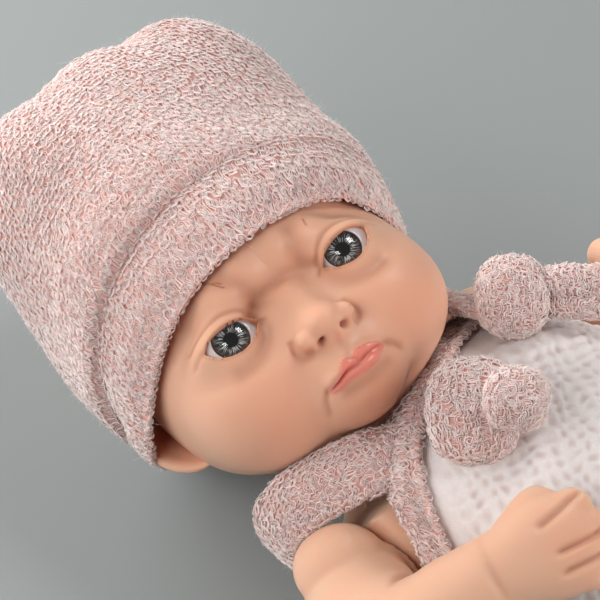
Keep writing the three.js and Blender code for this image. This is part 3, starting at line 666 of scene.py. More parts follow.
# %% Eyes
def turned_points(centre, sight, profile, count):
    """A profile of (radius, distance) pairs turned about the line of sight."""
    side = unit(np.cross(sight, crown_axis))
    up = np.cross(side, sight)
    angle = full_turn(count)
    circle = np.cos(angle)[:, None] * side + np.sin(angle)[:, None] * up
    r, d = np.asarray(profile, float).T
    rings = centre + d[:, None, None] * sight + r[:, None, None] * circle
    return rings.reshape(-1, 3)


iris_radius, pupil_radius, dark_rim = 5.1, 1.9, 4.2
seat = math.sqrt(eye_radius**2 - (iris_radius + 0.3) ** 2)
gaze = np.array([-0.06, 1, -0.01])
for side, name in sides:
    centre = placed(eye_middle * np.array([side, 1, 1]))
    sight = unit(gaze @ head_axes)
    swing = np.linspace(-np.pi / 2 + 0.02, math.asin(seat / eye_radius), 40)
    ball = [(eye_radius * math.cos(a), eye_radius * math.sin(a)) for a in swing]
    ball += [(iris_radius + 0.1, seat - 0.02), (iris_radius + 0.1, seat - 0.8), (0.01, seat - 0.8)]
    piece(f"{name}_eyeball", turned_points(centre, sight, ball, 72), [grid_faces(len(ball), 72)],
          eye_white, "head", [f"{name}_sclera"])

    around, along = 360, 34
    radius = np.linspace(0.02, iris_radius, along)
    bowl = [(r, seat - 0.45 + 0.4 * (r / iris_radius) ** 2) for r in radius]
    disc = turned_points(centre, sight, bowl + [(iris_radius, seat - 0.75), (0.02, seat - 0.75)], around)
    iris = piece(f"{name}_iris_disc", disc, [grid_faces(along + 2, around)],
                 iris_finish, "head", [f"{name}_iris"])
    spokes = rng.random((4, around // 3)).repeat(3, axis=1)
    spokes = (spokes + np.roll(spokes, 1, axis=1)) / 2
    level = np.clip((radius - pupil_radius) / 2.9, 0, 0.999) * 3
    lower = level.astype(int)
    streak = spokes[lower] + (spokes[lower + 1] - spokes[lower]) * (level - lower)[:, None]
    ring = ease(pupil_radius, pupil_radius + 0.4, radius) * (1 - 0.75 * ease(3.0, 4.0, radius))
    fibre = ease(0.42, 0.80, streak) * ring[:, None]
    pupil = 1 - ease(pupil_radius - 0.05, pupil_radius + 0.2, radius)
    dark = np.clip(pupil + 0.9 * ease(dark_rim, dark_rim + 0.5, radius), 0, 1)
    dark = np.tile(dark[:, None], (1, around))
    blank = np.zeros((2, around))
    paint(iris, "fibre", np.concatenate([fibre, blank]).ravel())
    paint(iris, "dark", np.concatenate([dark, blank + 1]).ravel())

    lift_angle = np.linspace(0, np.pi / 2 - 0.02, 18)
    dome = [(0.01, seat + 0.02)] + [
        ((iris_radius + 0.1) * math.cos(a), seat + 0.05 + 2.3 * math.sin(a)) for a in lift_angle]
    piece(f"{name}_cornea_dome", turned_points(centre, sight, dome, 64), [grid_faces(len(dome), 64)],
          dome_finish, "head", [f"{name}_cornea"])

# %% [markdown]
# ## Ears
# A soft vinyl ear stands off the side of the head: a rolled rim round a hollow. The closed section
# of the shell runs from the root on the head out to the rim and back behind it. An ear could be one
# more mass of the head, but a section carried along a path gives it the rolled rim.

# %% Ears
ear_rim = [(36.0, 4.0, -13.5), (40.0, 0.5, -13.4), (44.4, -2.0, -10.4), (47.6, -4.0, -5.6),
           (48.6, -6.0, -0.5), (46.5, -9.0, 5.0), (42.0, -11.0, 9.0)]
ear_root = [(34.5, 6.0, -10.5), (36.5, 4.5, -8.5), (38.0, 3.0, -5.5), (39.0, 1.0, -1.5), (39.5, -1.0, 2.0),
            (39.5, -4.0, 5.0), (39.0, -8.0, 8.0)]
ear_section = [(-0.3, -1.6), (0.1, -2.4), (0.45, -3.2), (0.72, -2.2), (0.88, 0.2), (1.02, 1.1), (1.16, 0.2),
               (1.12, -2.0), (0.8, -4.2), (0.4, -5.2), (-0.3, -5.2)]
stations, girth = 40, 48
rim_at = through(ear_rim, stations)
root_at = through(ear_root, stations)
out_way = rim_at - root_at
section_at = through(ear_section, girth, closed=True)
forward = np.array([0, 1.0, 0]) - unit(out_way) * unit(out_way)[:, 1:2]
grown = np.sqrt(1 - (1 - np.minimum(np.linspace(0.02, 3.0, stations), 1)) ** 2)[:, None, None]
shell = (root_at[:, None] + out_way[:, None] * section_at[None, :, 0:1]
         + unit(forward)[:, None] * section_at[None, :, 1:2])
heart = shell.mean(1, keepdims=True)
shell = heart + (shell - heart) * grown + np.array([-1.8, 0, 0.6])
# The hollow of the ear is darkened as painted shade.
hollow = 0.8 * hump(section_at[:, 0], 0.45, 0.3) * (section_at[:, 1] > -4)
for side, name in sides:
    ear_points = np.concatenate([shell[:1].mean(1), shell.reshape(-1, 3), shell[-1:].mean(1)])
    hollow_shade = np.concatenate([[0], np.tile(hollow, stations), [0]])
    skin_piece(
        f"{name}_ear", placed(ear_points * np.array([side, 1, 1])), capped_faces(stations, girth),
        "head", [], {"flush": np.full(len(ear_points), 0.25), "painted_shade": hollow_shade},
    )

# %% [markdown]
# ## Torso
# The real body is one hollow vinyl shell, mostly under the romper. A row of squared ovals along X,
# joined smoothly, is enough for it, and the same formula carries the cloth later. It makes room for
# the neck ball, and is flat where the arms and legs turn against it.

# %% Torso form
torso_sections = np.array([
    [-72, 4, 3, 24.5], [-69.5, 22, 9, 25], [-63, 34, 15.5, 26.5], [-55, 39, 22, 30],
    [-47, 41, 27, 32.8], [-34, 43, 31, 35], [-12, 44, 33.6, 35.4], [10, 45.5, 34.6, 36.4],
    [32, 45.5, 32.8, 35], [52, 39, 26, 31], [63, 25, 17, 28], [68, 6, 4, 26],
])
torso_square = 2.4
arm_face, leg_face, joint_gap = 14.5, 20.0, 0.35
neck_dish = 17.9


def torso_size(x):
    """Half width, half depth and middle height at x, on a smooth curve through the sections."""
    s = torso_sections
    k = np.clip(np.searchsorted(s[:, 0], x, side="right") - 1, 0, len(s) - 2)
    before, a, b, after = s[np.maximum(k - 1, 0)], s[k], s[k + 1], s[np.minimum(k + 2, len(s) - 1)]
    span = (b - a)[:, :1]
    t = np.clip((x[:, None] - a[:, :1]) / span, 0, 1)
    leave = (b - before) / (b - before)[:, :1] * span
    arrive = (after - a) / (after - a)[:, :1] * span
    curve = ((1 + 2 * t) * (1 - t) ** 2 * a + t * (1 - t) ** 2 * leave
             + t * t * (3 - 2 * t) * b - t * t * (1 - t) * arrive)
    return curve[:, 1], curve[:, 2], curve[:, 3]


def torso_point(x, angle, out):
    """Point on the squared oval at x, moved outwards along the surface normal; any array shape."""
    shape = np.broadcast(x, angle, out).shape
    x, angle, out = (np.broadcast_to(v, shape).ravel().astype(float) for v in (x, angle, out))
    w, h, c = torso_size(x)
    flat = 2 / torso_square
    p = np.stack([x, w * signed_power(np.cos(angle), flat), c + h * signed_power(np.sin(angle), flat)], 1)

    def level(shift):
        w2, h2, c2 = torso_size(x + shift)
        return np.abs(p[:, 1] / w2) ** torso_square + np.abs((p[:, 2] - c2) / h2) ** torso_square

    slope = torso_square - 1
    rise_y = torso_square * signed_power(p[:, 1] / w, slope) / w
    rise_z = torso_square * signed_power((p[:, 2] - c) / h, slope) / h
    normal = unit(np.stack([(level(0.2) - level(-0.2)) / 0.4, rise_y, rise_z], 1))
    return (p + out[:, None] * normal).reshape(*shape, 3)


def joint_of(at, way, side):
    """Middle and direction of a joint face, written for the left (side 1) and mirrored for side -1."""
    return np.array([at[0], side * at[1], at[2]]), unit(np.array([way[0], side * way[1], way[2]]))


def shoulder(side):
    """The face on which an arm turns."""
    return joint_of((-52, 43, 34), (-0.1, 0.95, 0.22), side)


def hip(side):
    """The face on which a leg turns."""
    return joint_of((47.5, 37.5, 32), (0.46, 0.86, 0.22), side)


print("torso width at the chest:", round(2 * float(torso_size(np.array([0.0]))[0][0]), 1))

# %% Torso skin
rows, columns = 150, 140
x = -71.5 + 139 * (0.5 - 0.5 * np.cos(np.pi * (np.arange(rows) + 0.5) / rows))
angle = full_turn(columns)
trunk = torso_point(x[:, None], angle[None, :], 0.0).reshape(-1, 3)
trunk = np.concatenate([[[-72, 0, 24.5]], trunk, [[68, 0, 26]]])
from_neck = trunk - neck_pivot
reach_neck = np.linalg.norm(from_neck, axis=1, keepdims=True)
trunk = np.where(reach_neck < neck_dish, neck_pivot + from_neck / reach_neck * neck_dish, trunk)
# The seat of the right arm is longer, because the round of that shoulder turns against it too.
for side in (-1, 1):
    at, way = hip(side)
    over = (trunk - at) @ way
    trunk -= np.maximum(over, 0)[:, None] * way
    at, way = shoulder(side)
    along = (trunk - at) @ way
    beside = trunk - at - along[:, None] * way
    pad = np.array([-7.0, 0, 7.0]) * (side < 0)
    share = np.clip(beside @ pad / max(pad @ pad, 1), 0, 1)
    off = np.linalg.norm(beside - share[:, None] * pad, axis=1)
    seat_share = (1 - ease(arm_face - 0.5, arm_face + 7, off)) * (along > -14)
    trunk -= (along * seat_share)[:, None] * way
trunk[:, 2] = np.maximum(trunk[:, 2], floor_gap)
skin_piece("torso_skin", trunk, capped_faces(rows, columns), "torso", ["torso_shell"], {})


# %% [markdown]
# ## Arms and legs
# A limb is a row of ovals along a bent path, with rolls of baby fat. Palm and fingers are more such
# rows. They are merged into one skin on a fine grid of cubes and smoothed, as a sculptor would blend
# clay, because Boolean unions would leave sharp seams. Creases are pressed in afterwards.

# %% Tubes and fingers
def loft(centres, radii, around=36, along=36, across=None):
    """Closed tube: ovals along a smooth path, rounded shut at the ends; across sets the wide side."""
    sizes = np.array([r if hasattr(r, "__len__") else (r, r) for r in radii], float)
    path = through(centres, along)
    size = through(sizes, along)
    ahead = unit(np.gradient(path, axis=0))
    wide = np.tile(np.array([0.3, 0.2, 1.0]) if across is None else across, (along, 1))
    wide = square_to(wide, ahead)
    tall = np.cross(ahead, wide)
    angle = full_turn(around)
    rings = (path[:, None] + np.cos(angle)[None, :, None] * (wide * size[:, :1])[:, None]
             + np.sin(angle)[None, :, None] * (tall * size[:, 1:])[:, None])
    points = np.concatenate([path[:1], rings.reshape(-1, 3), path[-1:]])
    return points, capped_faces(along, around)


def digit(points, radius):
    """A finger: a tube of even thickness with round ends."""
    path = through(points, 16)
    ahead = unit(np.gradient(path, axis=0))
    reach_on = radius * np.linspace(0.05, 1, 6)
    start = path[0] - ahead[0] * reach_on[::-1, None]
    end = path[-1] + ahead[-1] * reach_on[:, None]
    whole = np.concatenate([start, path, end])
    round_off = np.sqrt(np.maximum(1 - (reach_on / radius) ** 2, 0.004))
    thick = radius * np.concatenate([round_off[::-1], np.ones(16), round_off])
    return loft(whole, [(t, t) for t in thick], around=20, along=44)


print("points of a finger:", len(digit([(0, 0, 0), (5, 0, 0), (10, 0, 1)], 4.0)[0]))


# %% Hands
def hand(wrist, ahead, back_way, thumb_side):
    """Palm, four bent fingers and a thumb, from the wrist; back_way is the back of the hand."""
    ahead = unit(np.array(ahead))
    top = unit(np.array(back_way) - ahead * (np.array(back_way) @ ahead))
    thumb = np.cross(top, ahead) * thumb_side

    def at(a, t, b):
        return np.array(wrist) + a * ahead + t * thumb + b * top

    parts = [loft(
        [at(-3, 0, 0), at(5, 0, 0.4), at(14, 0.5, 1), at(22, 0.5, 0), at(25, 0.5, -1)],
        [(10, 9), (11.5, 9.5), (13, 8.6), (12, 7), (8, 4)], across=thumb,
    )]
    for k in (-1.5, -0.5, 0.5, 1.5):
        long = 1 - 0.05 * (k - 0.5) ** 2
        off = 6 * k
        finger = [at(14, off * 0.85, 0.8), at(26 * long, off, 0.2), at(21 * long, off * 0.95, -7)]
        parts.append(digit(finger, 4.2))
    parts.append(digit([at(6, 8, -1), at(15, 12, -3.4), at(23, 9.5, -6.5)], 4.4))
    return parts


print("parts of a hand:", len(hand((0, 0, 0), (1, 0, 0), (0, 0, 1), 1)))


# %% Merged skin
def merged(name, parts, voxel, smooth):
    """Points, faces and normals of one skin round all parts: remeshed on cubes, then smoothed."""
    points = np.concatenate([p for p, _ in parts])
    faces = []
    first = 0
    for p, sets in parts:
        faces += [s + first for s in sets]
        first += len(p)
    rough = bpy.data.objects.new(name, mesh_of(name, points, faces))
    bpy.context.scene.collection.objects.link(rough)
    remesh = rough.modifiers.new("blend", "REMESH")
    remesh.mode = "VOXEL"
    remesh.voxel_size = voxel * MM
    relax = rough.modifiers.new("relax", "SMOOTH")
    relax.iterations = smooth
    mesh = bpy.data.meshes.new_from_object(rough.evaluated_get(bpy.context.evaluated_depsgraph_get()))
    old = rough.data
    bpy.data.objects.remove(rough)
    bpy.data.meshes.remove(old)
    co = np.empty(len(mesh.vertices) * 3, np.float32)
    mesh.vertices.foreach_get("co", co)
    normal = np.empty(len(mesh.vertices) * 3, np.float32)
    mesh.vertices.foreach_get("normal", normal)
    corners = np.empty(len(mesh.loops), np.int32)
    mesh.loops.foreach_get("vertex_index", corners)
    points = co.reshape(-1, 3).astype(float) / MM
    return points, corners.reshape(-1, 4), normal.reshape(-1, 3)


def limb_piece(name, parts, body, node, joint, creases, rosy, voxel=0.75):
    """Merged limb with pressed creases (middle, direction across it, half width, depth, reach)."""
    points, quads, normal = merged(name, parts, voxel, 5)
    at, way = joint
    along = (points - at) @ way
    points += np.maximum(joint_gap - along, 0)[:, None] * way
    painted_shade = np.zeros(len(points))
    for middle, across_it, width, depth, reach_in in creases:
        away = points - np.array(middle)
        press = hump(away @ unit(np.array(across_it, float)), 0, width)
        press = press * (1 - ease(0.6 * reach_in, reach_in, np.linalg.norm(away, axis=1)))
        points -= normal * (depth * press)[:, None]
        # Each crease is also darkened as painted shade.
        painted_shade = np.maximum(painted_shade, 0.3 * press)
    flush = np.zeros(len(points))
    for middle, size, amount in rosy:
        flush = np.maximum(flush, amount * bell(points, middle, size))
    skin_piece(name, points, [quads], body, [node], {"flush": flush, "painted_shade": painted_shade})


print("limb helpers ready")


# %% Arms
def arm(side, path, radii, wrist, ahead, back_way):
    """A tube from the shoulder face along the path to the wrist, and the parts of the hand."""
    at, way = shoulder(side)
    centres = [at + joint_gap * way, at + 6 * way, *np.array(path, float), np.array(wrist, float)]
    sizes = [arm_face, arm_face, *radii]
    return [loft(centres, sizes, around=44, along=60), *hand(wrist, ahead, back_way, -side)]


# The photo shows a full shoulder on the right, so a round is merged in there.
right_parts = [loft([(-60, -50, height) for height in (31.5, 35, 44, 53, 56.5)], [2, 8, 13, 8, 2])]
right_parts += arm(-1, [(-51, -57.5, 40), (-42, -65, 46), (-32, -67, 52), (-24.5, -61, 59)],
                  [15.5, 14.5, 13.8, 12.8, 10.5], (-17.5, -55.5, 67), (0.77, 0.57, 0.28),
                  (0.24, -0.66, 0.71))
right_creases = [
    ((-17.5, -56, 66), (0.75, 0.55, 0.4), 1.0, 0.35, 13),
    ((-36, -58, 53), (0.75, 0.1, 0.65), 1.1, 1.2, 14),
    ((0.2, -47.5, 77.2), (-0.59, 0.48, 0.65), 0.9, 1.7, 9),
    ((2.5, -49.5, 72.5), (-0.59, 0.48, 0.65), 0.9, 1.7, 9),
    ((-6.7, -44, 83), (-0.78, 0.3, 0.54), 1.0, 1.2, 9),
]
limb_piece("right_arm_skin", right_parts, "right_arm", "right_arm", shoulder(-1), right_creases,
           [((-2, -48, 76), 9, 0.4), ((-32, -68, 54), 9, 0.25)])
left_parts = arm(1, [(-51, 58, 31), (-38, 68, 25), (-27, 75, 27.5), (-21, 74, 38)],
                 [14.0, 13.4, 13.0, 12.6, 10.5], (-17, 71, 46), (0.35, -0.25, 0.9), (0.3, 0.9, 0.2))
limb_piece("left_arm_skin", left_parts, "left_arm", "left_arm", shoulder(1),
           [((-18, 72, 44), (0.2, -0.2, 0.95), 0.8, 0.9, 15),
            ((-33, 66, 34), (0.8, 0.2, 0.55), 0.9, 1.3, 15)],
           [((-10, 66, 66), 9, 0.4), ((-28, 80, 28), 9, 0.25)])


# %% Legs
def leg(side):
    """Thigh and shin in one tube from the hip face, a foot and five toes."""
    joint, way = hip(side)

    def at(px, py, pz):
        return np.array([px, side * py, pz], float)

    thigh = loft(
        [joint + joint_gap * way, joint + 9 * way, at(66, 59, 38), at(82, 66, 45), at(95, 64, 39),
         at(107, 59, 26), at(114, 56, 15)],
        [leg_face, leg_face, (20.5, 20), (17.5, 18), 15.5, 13, 11], around=52, along=70,
    )
    foot = loft(
        [at(112, 57, 2.6), at(114, 57, 7.6), at(118, 57, 18), at(121, 58, 30), at(122, 59, 40),
         at(122, 59.5, 45)],
        [(6, 7), (10, 10.6), (10, 11), (8.6, 12.5), (6.8, 13), (4, 9)], across=np.array([1.0, 0, 0]),
    )
    toes = []
    for k in range(5):
        size = 4.5 if k == 0 else 3.3 - 0.15 * k
        y = 52.4 + 4.6 * k - (2.0 if k == 0 else 0)
        toes.append(digit([at(122, y, 43 - 1.2 * k), at(123.2, y, 50 - 1.3 * k)], size))
    return [thigh, foot, *toes]


for side, name in sides:
    limb_piece(
        f"{name}_leg_skin", leg(side), f"{name}_leg", f"{name}_leg", hip(side),
        [((113, side * 57, 14), (0.5, 0, 0.9), 1.1, 1.1, 14),
         ((89, side * 66, 30), (0.9, 0, -0.4), 1.2, 1.4, 15)],
        [((121, side * 60, 44), 10, 0.5), ((84, side * 70, 52), 12, 0.3)], voxel=1.0,
    )

# %% [markdown]
# ## Romper
# The romper is a thin stretched cloth a little off the body: a front and a back panel, drawn together
# at the crotch. It is brushed cotton woven in a waffle of small raised and sunken squares, and plain
# beside the neck band and between the legs. A simulation could drape it, but stretched cloth follows
# what it covers, so it is the torso's own formula moved outwards.

# %% Cloth finish
cloth, cloth_shader, wire = finish("waffle_white", Roughness=0.92, Sheen_Weight=0.25)
tuft = wire.noise(900.0, 3.0)
cotton = wire.mix(tuft, ink(244, 238, 236), ink(230, 221, 218))
# Painted shade: the sunken squares of the waffle darken to a greyish pink.
plug(cloth_shader, Base_Color=wire.mix(wire.painted("waffle_shade") * 0.75, cotton, ink(206, 184, 178)))
plug(cloth_shader, Normal=wire.bump(wire.noise(2400.0, 3.0), 0.35))
bib_top, bib_dip, bib_back = -51.5, 19.5, -42.0


def rim_x(angle):
    """Where the cloth starts at this angle round the body: high in the middle, low at the sides."""
    sideways = np.abs(np.cos(angle))
    rear = bib_back + (bib_top + bib_dip - bib_back) * sideways**2.2
    return np.where(np.sin(angle) > 0, bib_top + bib_dip * sideways**3.4, rear)


def bib_rise(x, angle):
    """How far the stiff bib stands off the chest: most at its top, and further down on the left."""
    far = ease(0.1, 0.7, np.cos(angle))
    return 4.0 * (1 - ease(-50 + 25 * far, -20 + 35 * far, x)) * ease(0.35, 0.9, np.sin(angle) + 0.25 * far)


print("bib from x =", bib_top, "in front and", bib_back, "behind")


# %% Romper panels
waffle, cloth_off, cloth_length = 2.7, 2.6, 112.0
crotch_x, crotch_height, seam_share = 67.0, 26.0, 0.07


def drift(x, y):
    """Smooth uneven field of about -1 to 1, a sum of a few slanted waves."""
    waves = np.sin(0.31 * x + 0.22 * y + 1.0) + np.sin(-0.23 * x + 0.41 * y)
    return (waves + np.sin(0.52 * x - 0.13 * y + 2.2)) / 3


for name, start, rows, columns in (("romper_front", 0.0, 250, 280), ("romper_back", np.pi, 150, 170)):
    angle = start + np.pi * np.linspace(0, 1, columns)
    top = rim_x(angle)[None, :]
    share = np.linspace(0, 1 + seam_share, rows)[:, None]
    x = top + (crotch_x - top) * np.minimum(share, 1)
    girth = run_along(torso_point(0.0, angle, 0.0))[None, :]
    girth_at = girth + 1.5 * drift(x, girth) + 0.5 * drift(3 * x, 2 * girth)
    x_at = x + 1.5 * drift(girth, x + 7) + 0.5 * drift(2 * girth, 3 * x)
    cell = np.sin(np.pi * girth_at / waffle) * np.sin(np.pi * x_at / waffle)
    puff = (0.75 + 0.45 * drift(1.7 * x, 1.9 * girth + 3)) * signed_power(cell, 0.8)
    woven = ease(8, 17, x - top) * (1 - ease(50, 60, x))
    off_body = cloth_off + bib_rise(x, angle[None, :]) + 0.5 * puff * woven
    sheet = torso_point(x, angle[None, :], off_body)
    shut = np.clip((share - 1) / seam_share, 0, 1)
    sheet[..., 2] += (crotch_height - sheet[..., 2]) * shut
    sheet[..., 1] *= 1 - 0.3 * shut
    sheet[..., 0] += 0.3 * shut * (2 - shut)
    sheet = sheet.reshape(-1, 3)
    keep = np.ones(len(sheet), bool)
    for side in (-1, 1):
        at, way = hip(side)
        along = (sheet - at) @ way
        sheet -= np.maximum(along + 0.2, 0)[:, None] * way
        off = np.linalg.norm(sheet - at - ((sheet - at) @ way)[:, None] * way, axis=1)
        keep &= (off > leg_face - 0.5) | (along < -4)
    sheet[:, 2] = np.maximum(sheet[:, 2], floor_gap)
    quads = grid_faces(rows, columns, ring=False)
    quads = quads[keep[quads].all(1)]
    a, b, c, d = (sheet[quads[:, k]] for k in range(4))
    area = 0.5 * np.linalg.norm(np.cross(c - a, d - b), axis=1).sum()
    panel = piece(f"{name}_cloth", sheet, [quads], cloth, "torso", [name], closed=False)
    # Painted shade is strongest in the deepest sunken squares.
    paint(panel, "waffle_shade", np.clip(-puff * woven, 0, 1).ravel())

# %% [markdown]
# ## Knitting
# The hat, straps, bows and bands are knit: each row is one yarn bent into loops, and a yarn is three
# thin strands side by side. A knit piece has a backing shape, rows of loops over it, and loose fibres
# that stand off. The backing is a deeper, darker rose than the yarn, as painted shade in the gaps
# between loops. A bump pattern could suggest the loops, but gaps and fuzz show along every outline,
# so the yarn is modelled.

# %% Yarn finishes
yarn, yarn_shader, wire = finish("knit_rose", Roughness=0.85, Sheen_Weight=0.7, Sheen_Roughness=0.5)
plug(yarn_shader, Base_Color=wire.mix(wire.painted("tone"), ink(255, 219, 211), ink(255, 241, 236)))
# Painted shade: the backing is the yarn's rose made deeper and darker, as shadow in the gaps.
backing, backing_shader, wire = finish("knit_gap_shade", Roughness=0.95)
plug(backing_shader, Base_Color=wire.mix(wire.noise(420.0, 3.0), ink(212, 142, 130), ink(250, 210, 201)))
stitch_width, strand_radius, strand_count, tube_sides = 2.7, 0.165, 3, 3
fibres_to_stitch, piece_limit, backing_depth = 1.35, 176000, 0.55
print("yarn:", strand_count, "strands of", 2 * strand_radius, "mm")


# %% Yarn rows
def row_table(surface, span, step):
    """Number of rows that fit between two values of v, and v as a function of the row number."""
    v = np.linspace(*span, 160)
    a = np.linspace(0, 1, 24, endpoint=False)
    sheet = surface(np.tile(a, (160, 1)), np.tile(v[:, None], (1, 24)), 0.0)
    run = np.concatenate([[0], np.cumsum(np.linalg.norm(np.diff(sheet, axis=0), axis=2).mean(1))])
    rows = max(3, round(run[-1] / step))
    return rows, lambda r: np.interp(r / rows * run[-1], run, v)


def uneven(count, n, t):
    """Random curves over a closed row of n stitches, with two smooth swings to a stitch."""
    marks = rng.normal(0, 1, (count, 2 * n))
    spot = np.floor(2 * t).astype(int)
    share = ease(0, 1, 2 * t - spot)
    return marks[:, spot % (2 * n)] * (1 - share) + marks[:, (spot + 1) % (2 * n)] * share


def yarn_row(surface, row_v, k, samples, loose):
    """One looped row seen from its purl side: the yarn swings sideways twice a stitch, up and down
    once and in and out twice, so that the round heads lie in front and the legs behind. Strands
    wander apart, and loose makes the loops wilder. Returns tube points, faces and tone."""
    a = np.linspace(0, 1, 361)
    rim_line = surface(a, np.full(361, row_v(k + 0.5)), 0.0)
    run = run_along(rim_line)
    n = max(5, round(run[-1] / stitch_width))
    t = np.arange(n * samples) / samples
    jitter = loose * uneven(4, n, t)
    phase = 2 * np.pi * t
    x = (t + 0.17 * loose * np.sin(2 * phase) + 0.12 * jitter[0]) % n
    r = k + 0.5 - (0.70 + 0.16 * jitter[1]) * np.cos(phase) + 0.14 * jitter[2]
    z = 0.20 * np.cos(2 * phase) + 0.12 * jitter[3]
    place_a = np.interp(x / n * run[-1], run, a)
    line = surface(place_a, row_v(r), z)
    normal = unit(surface(place_a, row_v(r), z + 0.5) - line + 1e-9)
    along = unit(np.roll(line, -1, 0) - np.roll(line, 1, 0) + 1e-9)
    sideways = unit(np.cross(normal, along) + 1e-9)
    spread = ((np.arange(strand_count) - (strand_count - 1) / 2) * 2.6 * strand_radius)[:, None]
    aside = spread + 0.16 * loose * uneven(strand_count, n, t)
    over = 0.09 * loose * uneven(strand_count, n, t) - 0.10 * np.abs(spread)
    centre = line[None] + aside[..., None] * sideways[None] + over[..., None] * normal[None]
    corner = (2 * np.pi * np.arange(tube_sides) / tube_sides)[None, None, :, None]
    tube = (centre[:, :, None] + strand_radius * np.cos(corner) * normal[None, :, None]
            + strand_radius * np.sin(corner) * sideways[None, :, None])
    m = n * samples
    i = tube_sides * np.arange(m)[:, None]
    j = np.arange(tube_sides)[None, :]
    after_i, after_j = np.roll(i, -1), np.roll(j, -1)
    quad = np.stack([i + j, after_i + j, after_i + after_j, i + after_j], -1).reshape(-1, 4)
    quads = np.concatenate([quad + s * m * tube_sides for s in range(strand_count)])
    tone = np.clip(0.55 + 0.4 * uneven(strand_count, n, t), 0, 1)
    return tube.reshape(-1, 3), quads, np.repeat(tone.ravel(), tube_sides)


print("yarn rows ready, tubes with", tube_sides, "sides")


# %% Fuzz
def fuzz_points(surface, row_v, rows, count):
    """Loose fibres: thin hairs of three rings that leave the yarn at random spots, lean and curl."""
    a = rng.random(count)
    v = row_v(rows * rng.random(count))
    root = surface(a, v, np.full(count, 0.1))
    normal = unit(surface(a, v, np.full(count, 0.6)) - root)
    lean = rng.normal(0, 1, (count, 3))
    lean = square_to(lean, normal)
    stand = rng.uniform(0.2, 0.9, (count, 1))
    way = unit(stand * normal + (1 - stand) * lean)
    side = unit(np.cross(way, normal))
    over = np.cross(way, side)
    long = 0.5 + np.minimum(rng.exponential(0.7, count), 2.4)
    share = np.array([0, 0.5, 1.0])[None, :, None]
    curl = 0.35 * rng.normal(0, 1, (count, 1, 3))
    line = root[:, None] + long[:, None, None] * (share * way[:, None] + share**2 * curl)
    thick = np.array([0.032, 0.026, 0.004])[None, :, None, None]
    corner = (2 * np.pi * np.arange(tube_sides) / tube_sides)[None, None, :, None]
    ring = np.cos(corner) * side[:, None, None] + np.sin(corner) * over[:, None, None]
    tube = line[:, :, None] + thick * ring
    hair = 3 * tube_sides * np.arange(count)[:, None, None] + grid_faces(3, tube_sides)[None]
    return tube.reshape(-1, 3), hair.reshape(-1, 4)


print("fuzz ready,", fibres_to_stitch, "fibres to a stitch")


# %% Knit piece
def thread_piece(name, points, quads, tone, body):
    """A mesh of many thin tubes in the yarn finish, with a tone for each point, flattened on the floor."""
    points[:, 2] = np.maximum(points[:, 2], floor_gap)
    paint(piece(name, points, [quads], yarn, body, closed=False), "tone", tone)


def knit(name, surface, span, body, nodes, step=2.3, samples=6, loose=1.25, ring=False, down=42,
         round_it=60):
    """Backing, yarn rows (split where a piece would grow too large) and fuzz over a closed surface
    given as surface(a, v, out): a runs round a row, v across the rows, out lifts off the surface.
    With ring, v runs once round a section instead of from end to end."""
    rows, row_v = row_table(surface, span, step)
    a, v = np.meshgrid(np.linspace(0, 1, round_it, endpoint=False), np.linspace(0, 1, down))
    shape = surface(a, v, -backing_depth).reshape(-1, 3)
    if ring:
        faces = [grid_faces(down, round_it)]
    else:
        shape = np.concatenate([shape[:round_it].mean(0)[None], shape, shape[-round_it:].mean(0)[None]])
        faces = capped_faces(down, round_it)
    base = piece(f"{name}_ground", shape, faces, backing, body, nodes)
    made, count, total, part = [], 0, 0, 1
    for k in range(rows):
        made.append(yarn_row(surface, row_v, k, samples, loose))
        count += 2 * len(made[-1][1])
        if count > piece_limit or k == rows - 1:
            starts = np.cumsum([0] + [len(m[0]) for m in made])
            quads = np.concatenate([m[1] + first for m, first in zip(made, starts)])
            thread_piece(f"{name}_yarn_{part}", np.concatenate([m[0] for m in made]), quads,
                         np.concatenate([m[2] for m in made]), body)
            total += len(quads)
            made, count, part = [], 0, part + 1
    fibres = int(fibres_to_stitch * total / (tube_sides * strand_count * samples))
    hairs, hair_faces = fuzz_points(surface, row_v, rows, fibres)
    thread_piece(f"{name}_fuzz", hairs, hair_faces, np.ones(len(hairs)), body)
    return base


print("knit ready, yarn pieces split past", piece_limit, "triangles")

# %% [markdown]
# ## Hat
# A loose bag with squared corners, sagging to the front, over a band that holds the head. On the
# doll's right the bag slumps over the band in a fold. The edge of the band rides up at the nape, and
# the band bulges over the right ear. A simulation could drape the bag, but a formula keeps each fold
# in its place.

# %% Hat form
hat_lean = math.radians(23.4)
hat_edge, hat_top, hat_groove, hat_dome = -17.0, 80.8, 8.0, 20.0
hat_up = np.array([0, -math.sin(hat_lean), math.cos(hat_lean)])
hat_front = np.array([0, math.cos(hat_lean), math.sin(hat_lean)])


def edge_height(angle):
    """Height of the lower edge: level in front, lower on the left, up over the left brow and the nape."""
    nape = 13 * ease(0, 0.9, -np.sin(angle + math.radians(8)))
    return hat_edge + nape - 2.5 * ease(0.2, 1, np.cos(angle)) + 3.4 * hump(angle, 0.8, 0.38)


def hat_fold(angle):
    """Height of the crease between crown and cuff: lowest over the right ear."""
    return hat_groove - 3.6 * hump(angle % (2 * np.pi), np.pi, 0.7)


def slump(angle):
    """1 on the doll's right, where the crown slumps over the band, fading to 0 past the forehead."""
    return 1 - ease(math.radians(88), math.radians(132), np.abs(angle % (2 * np.pi) - np.pi))


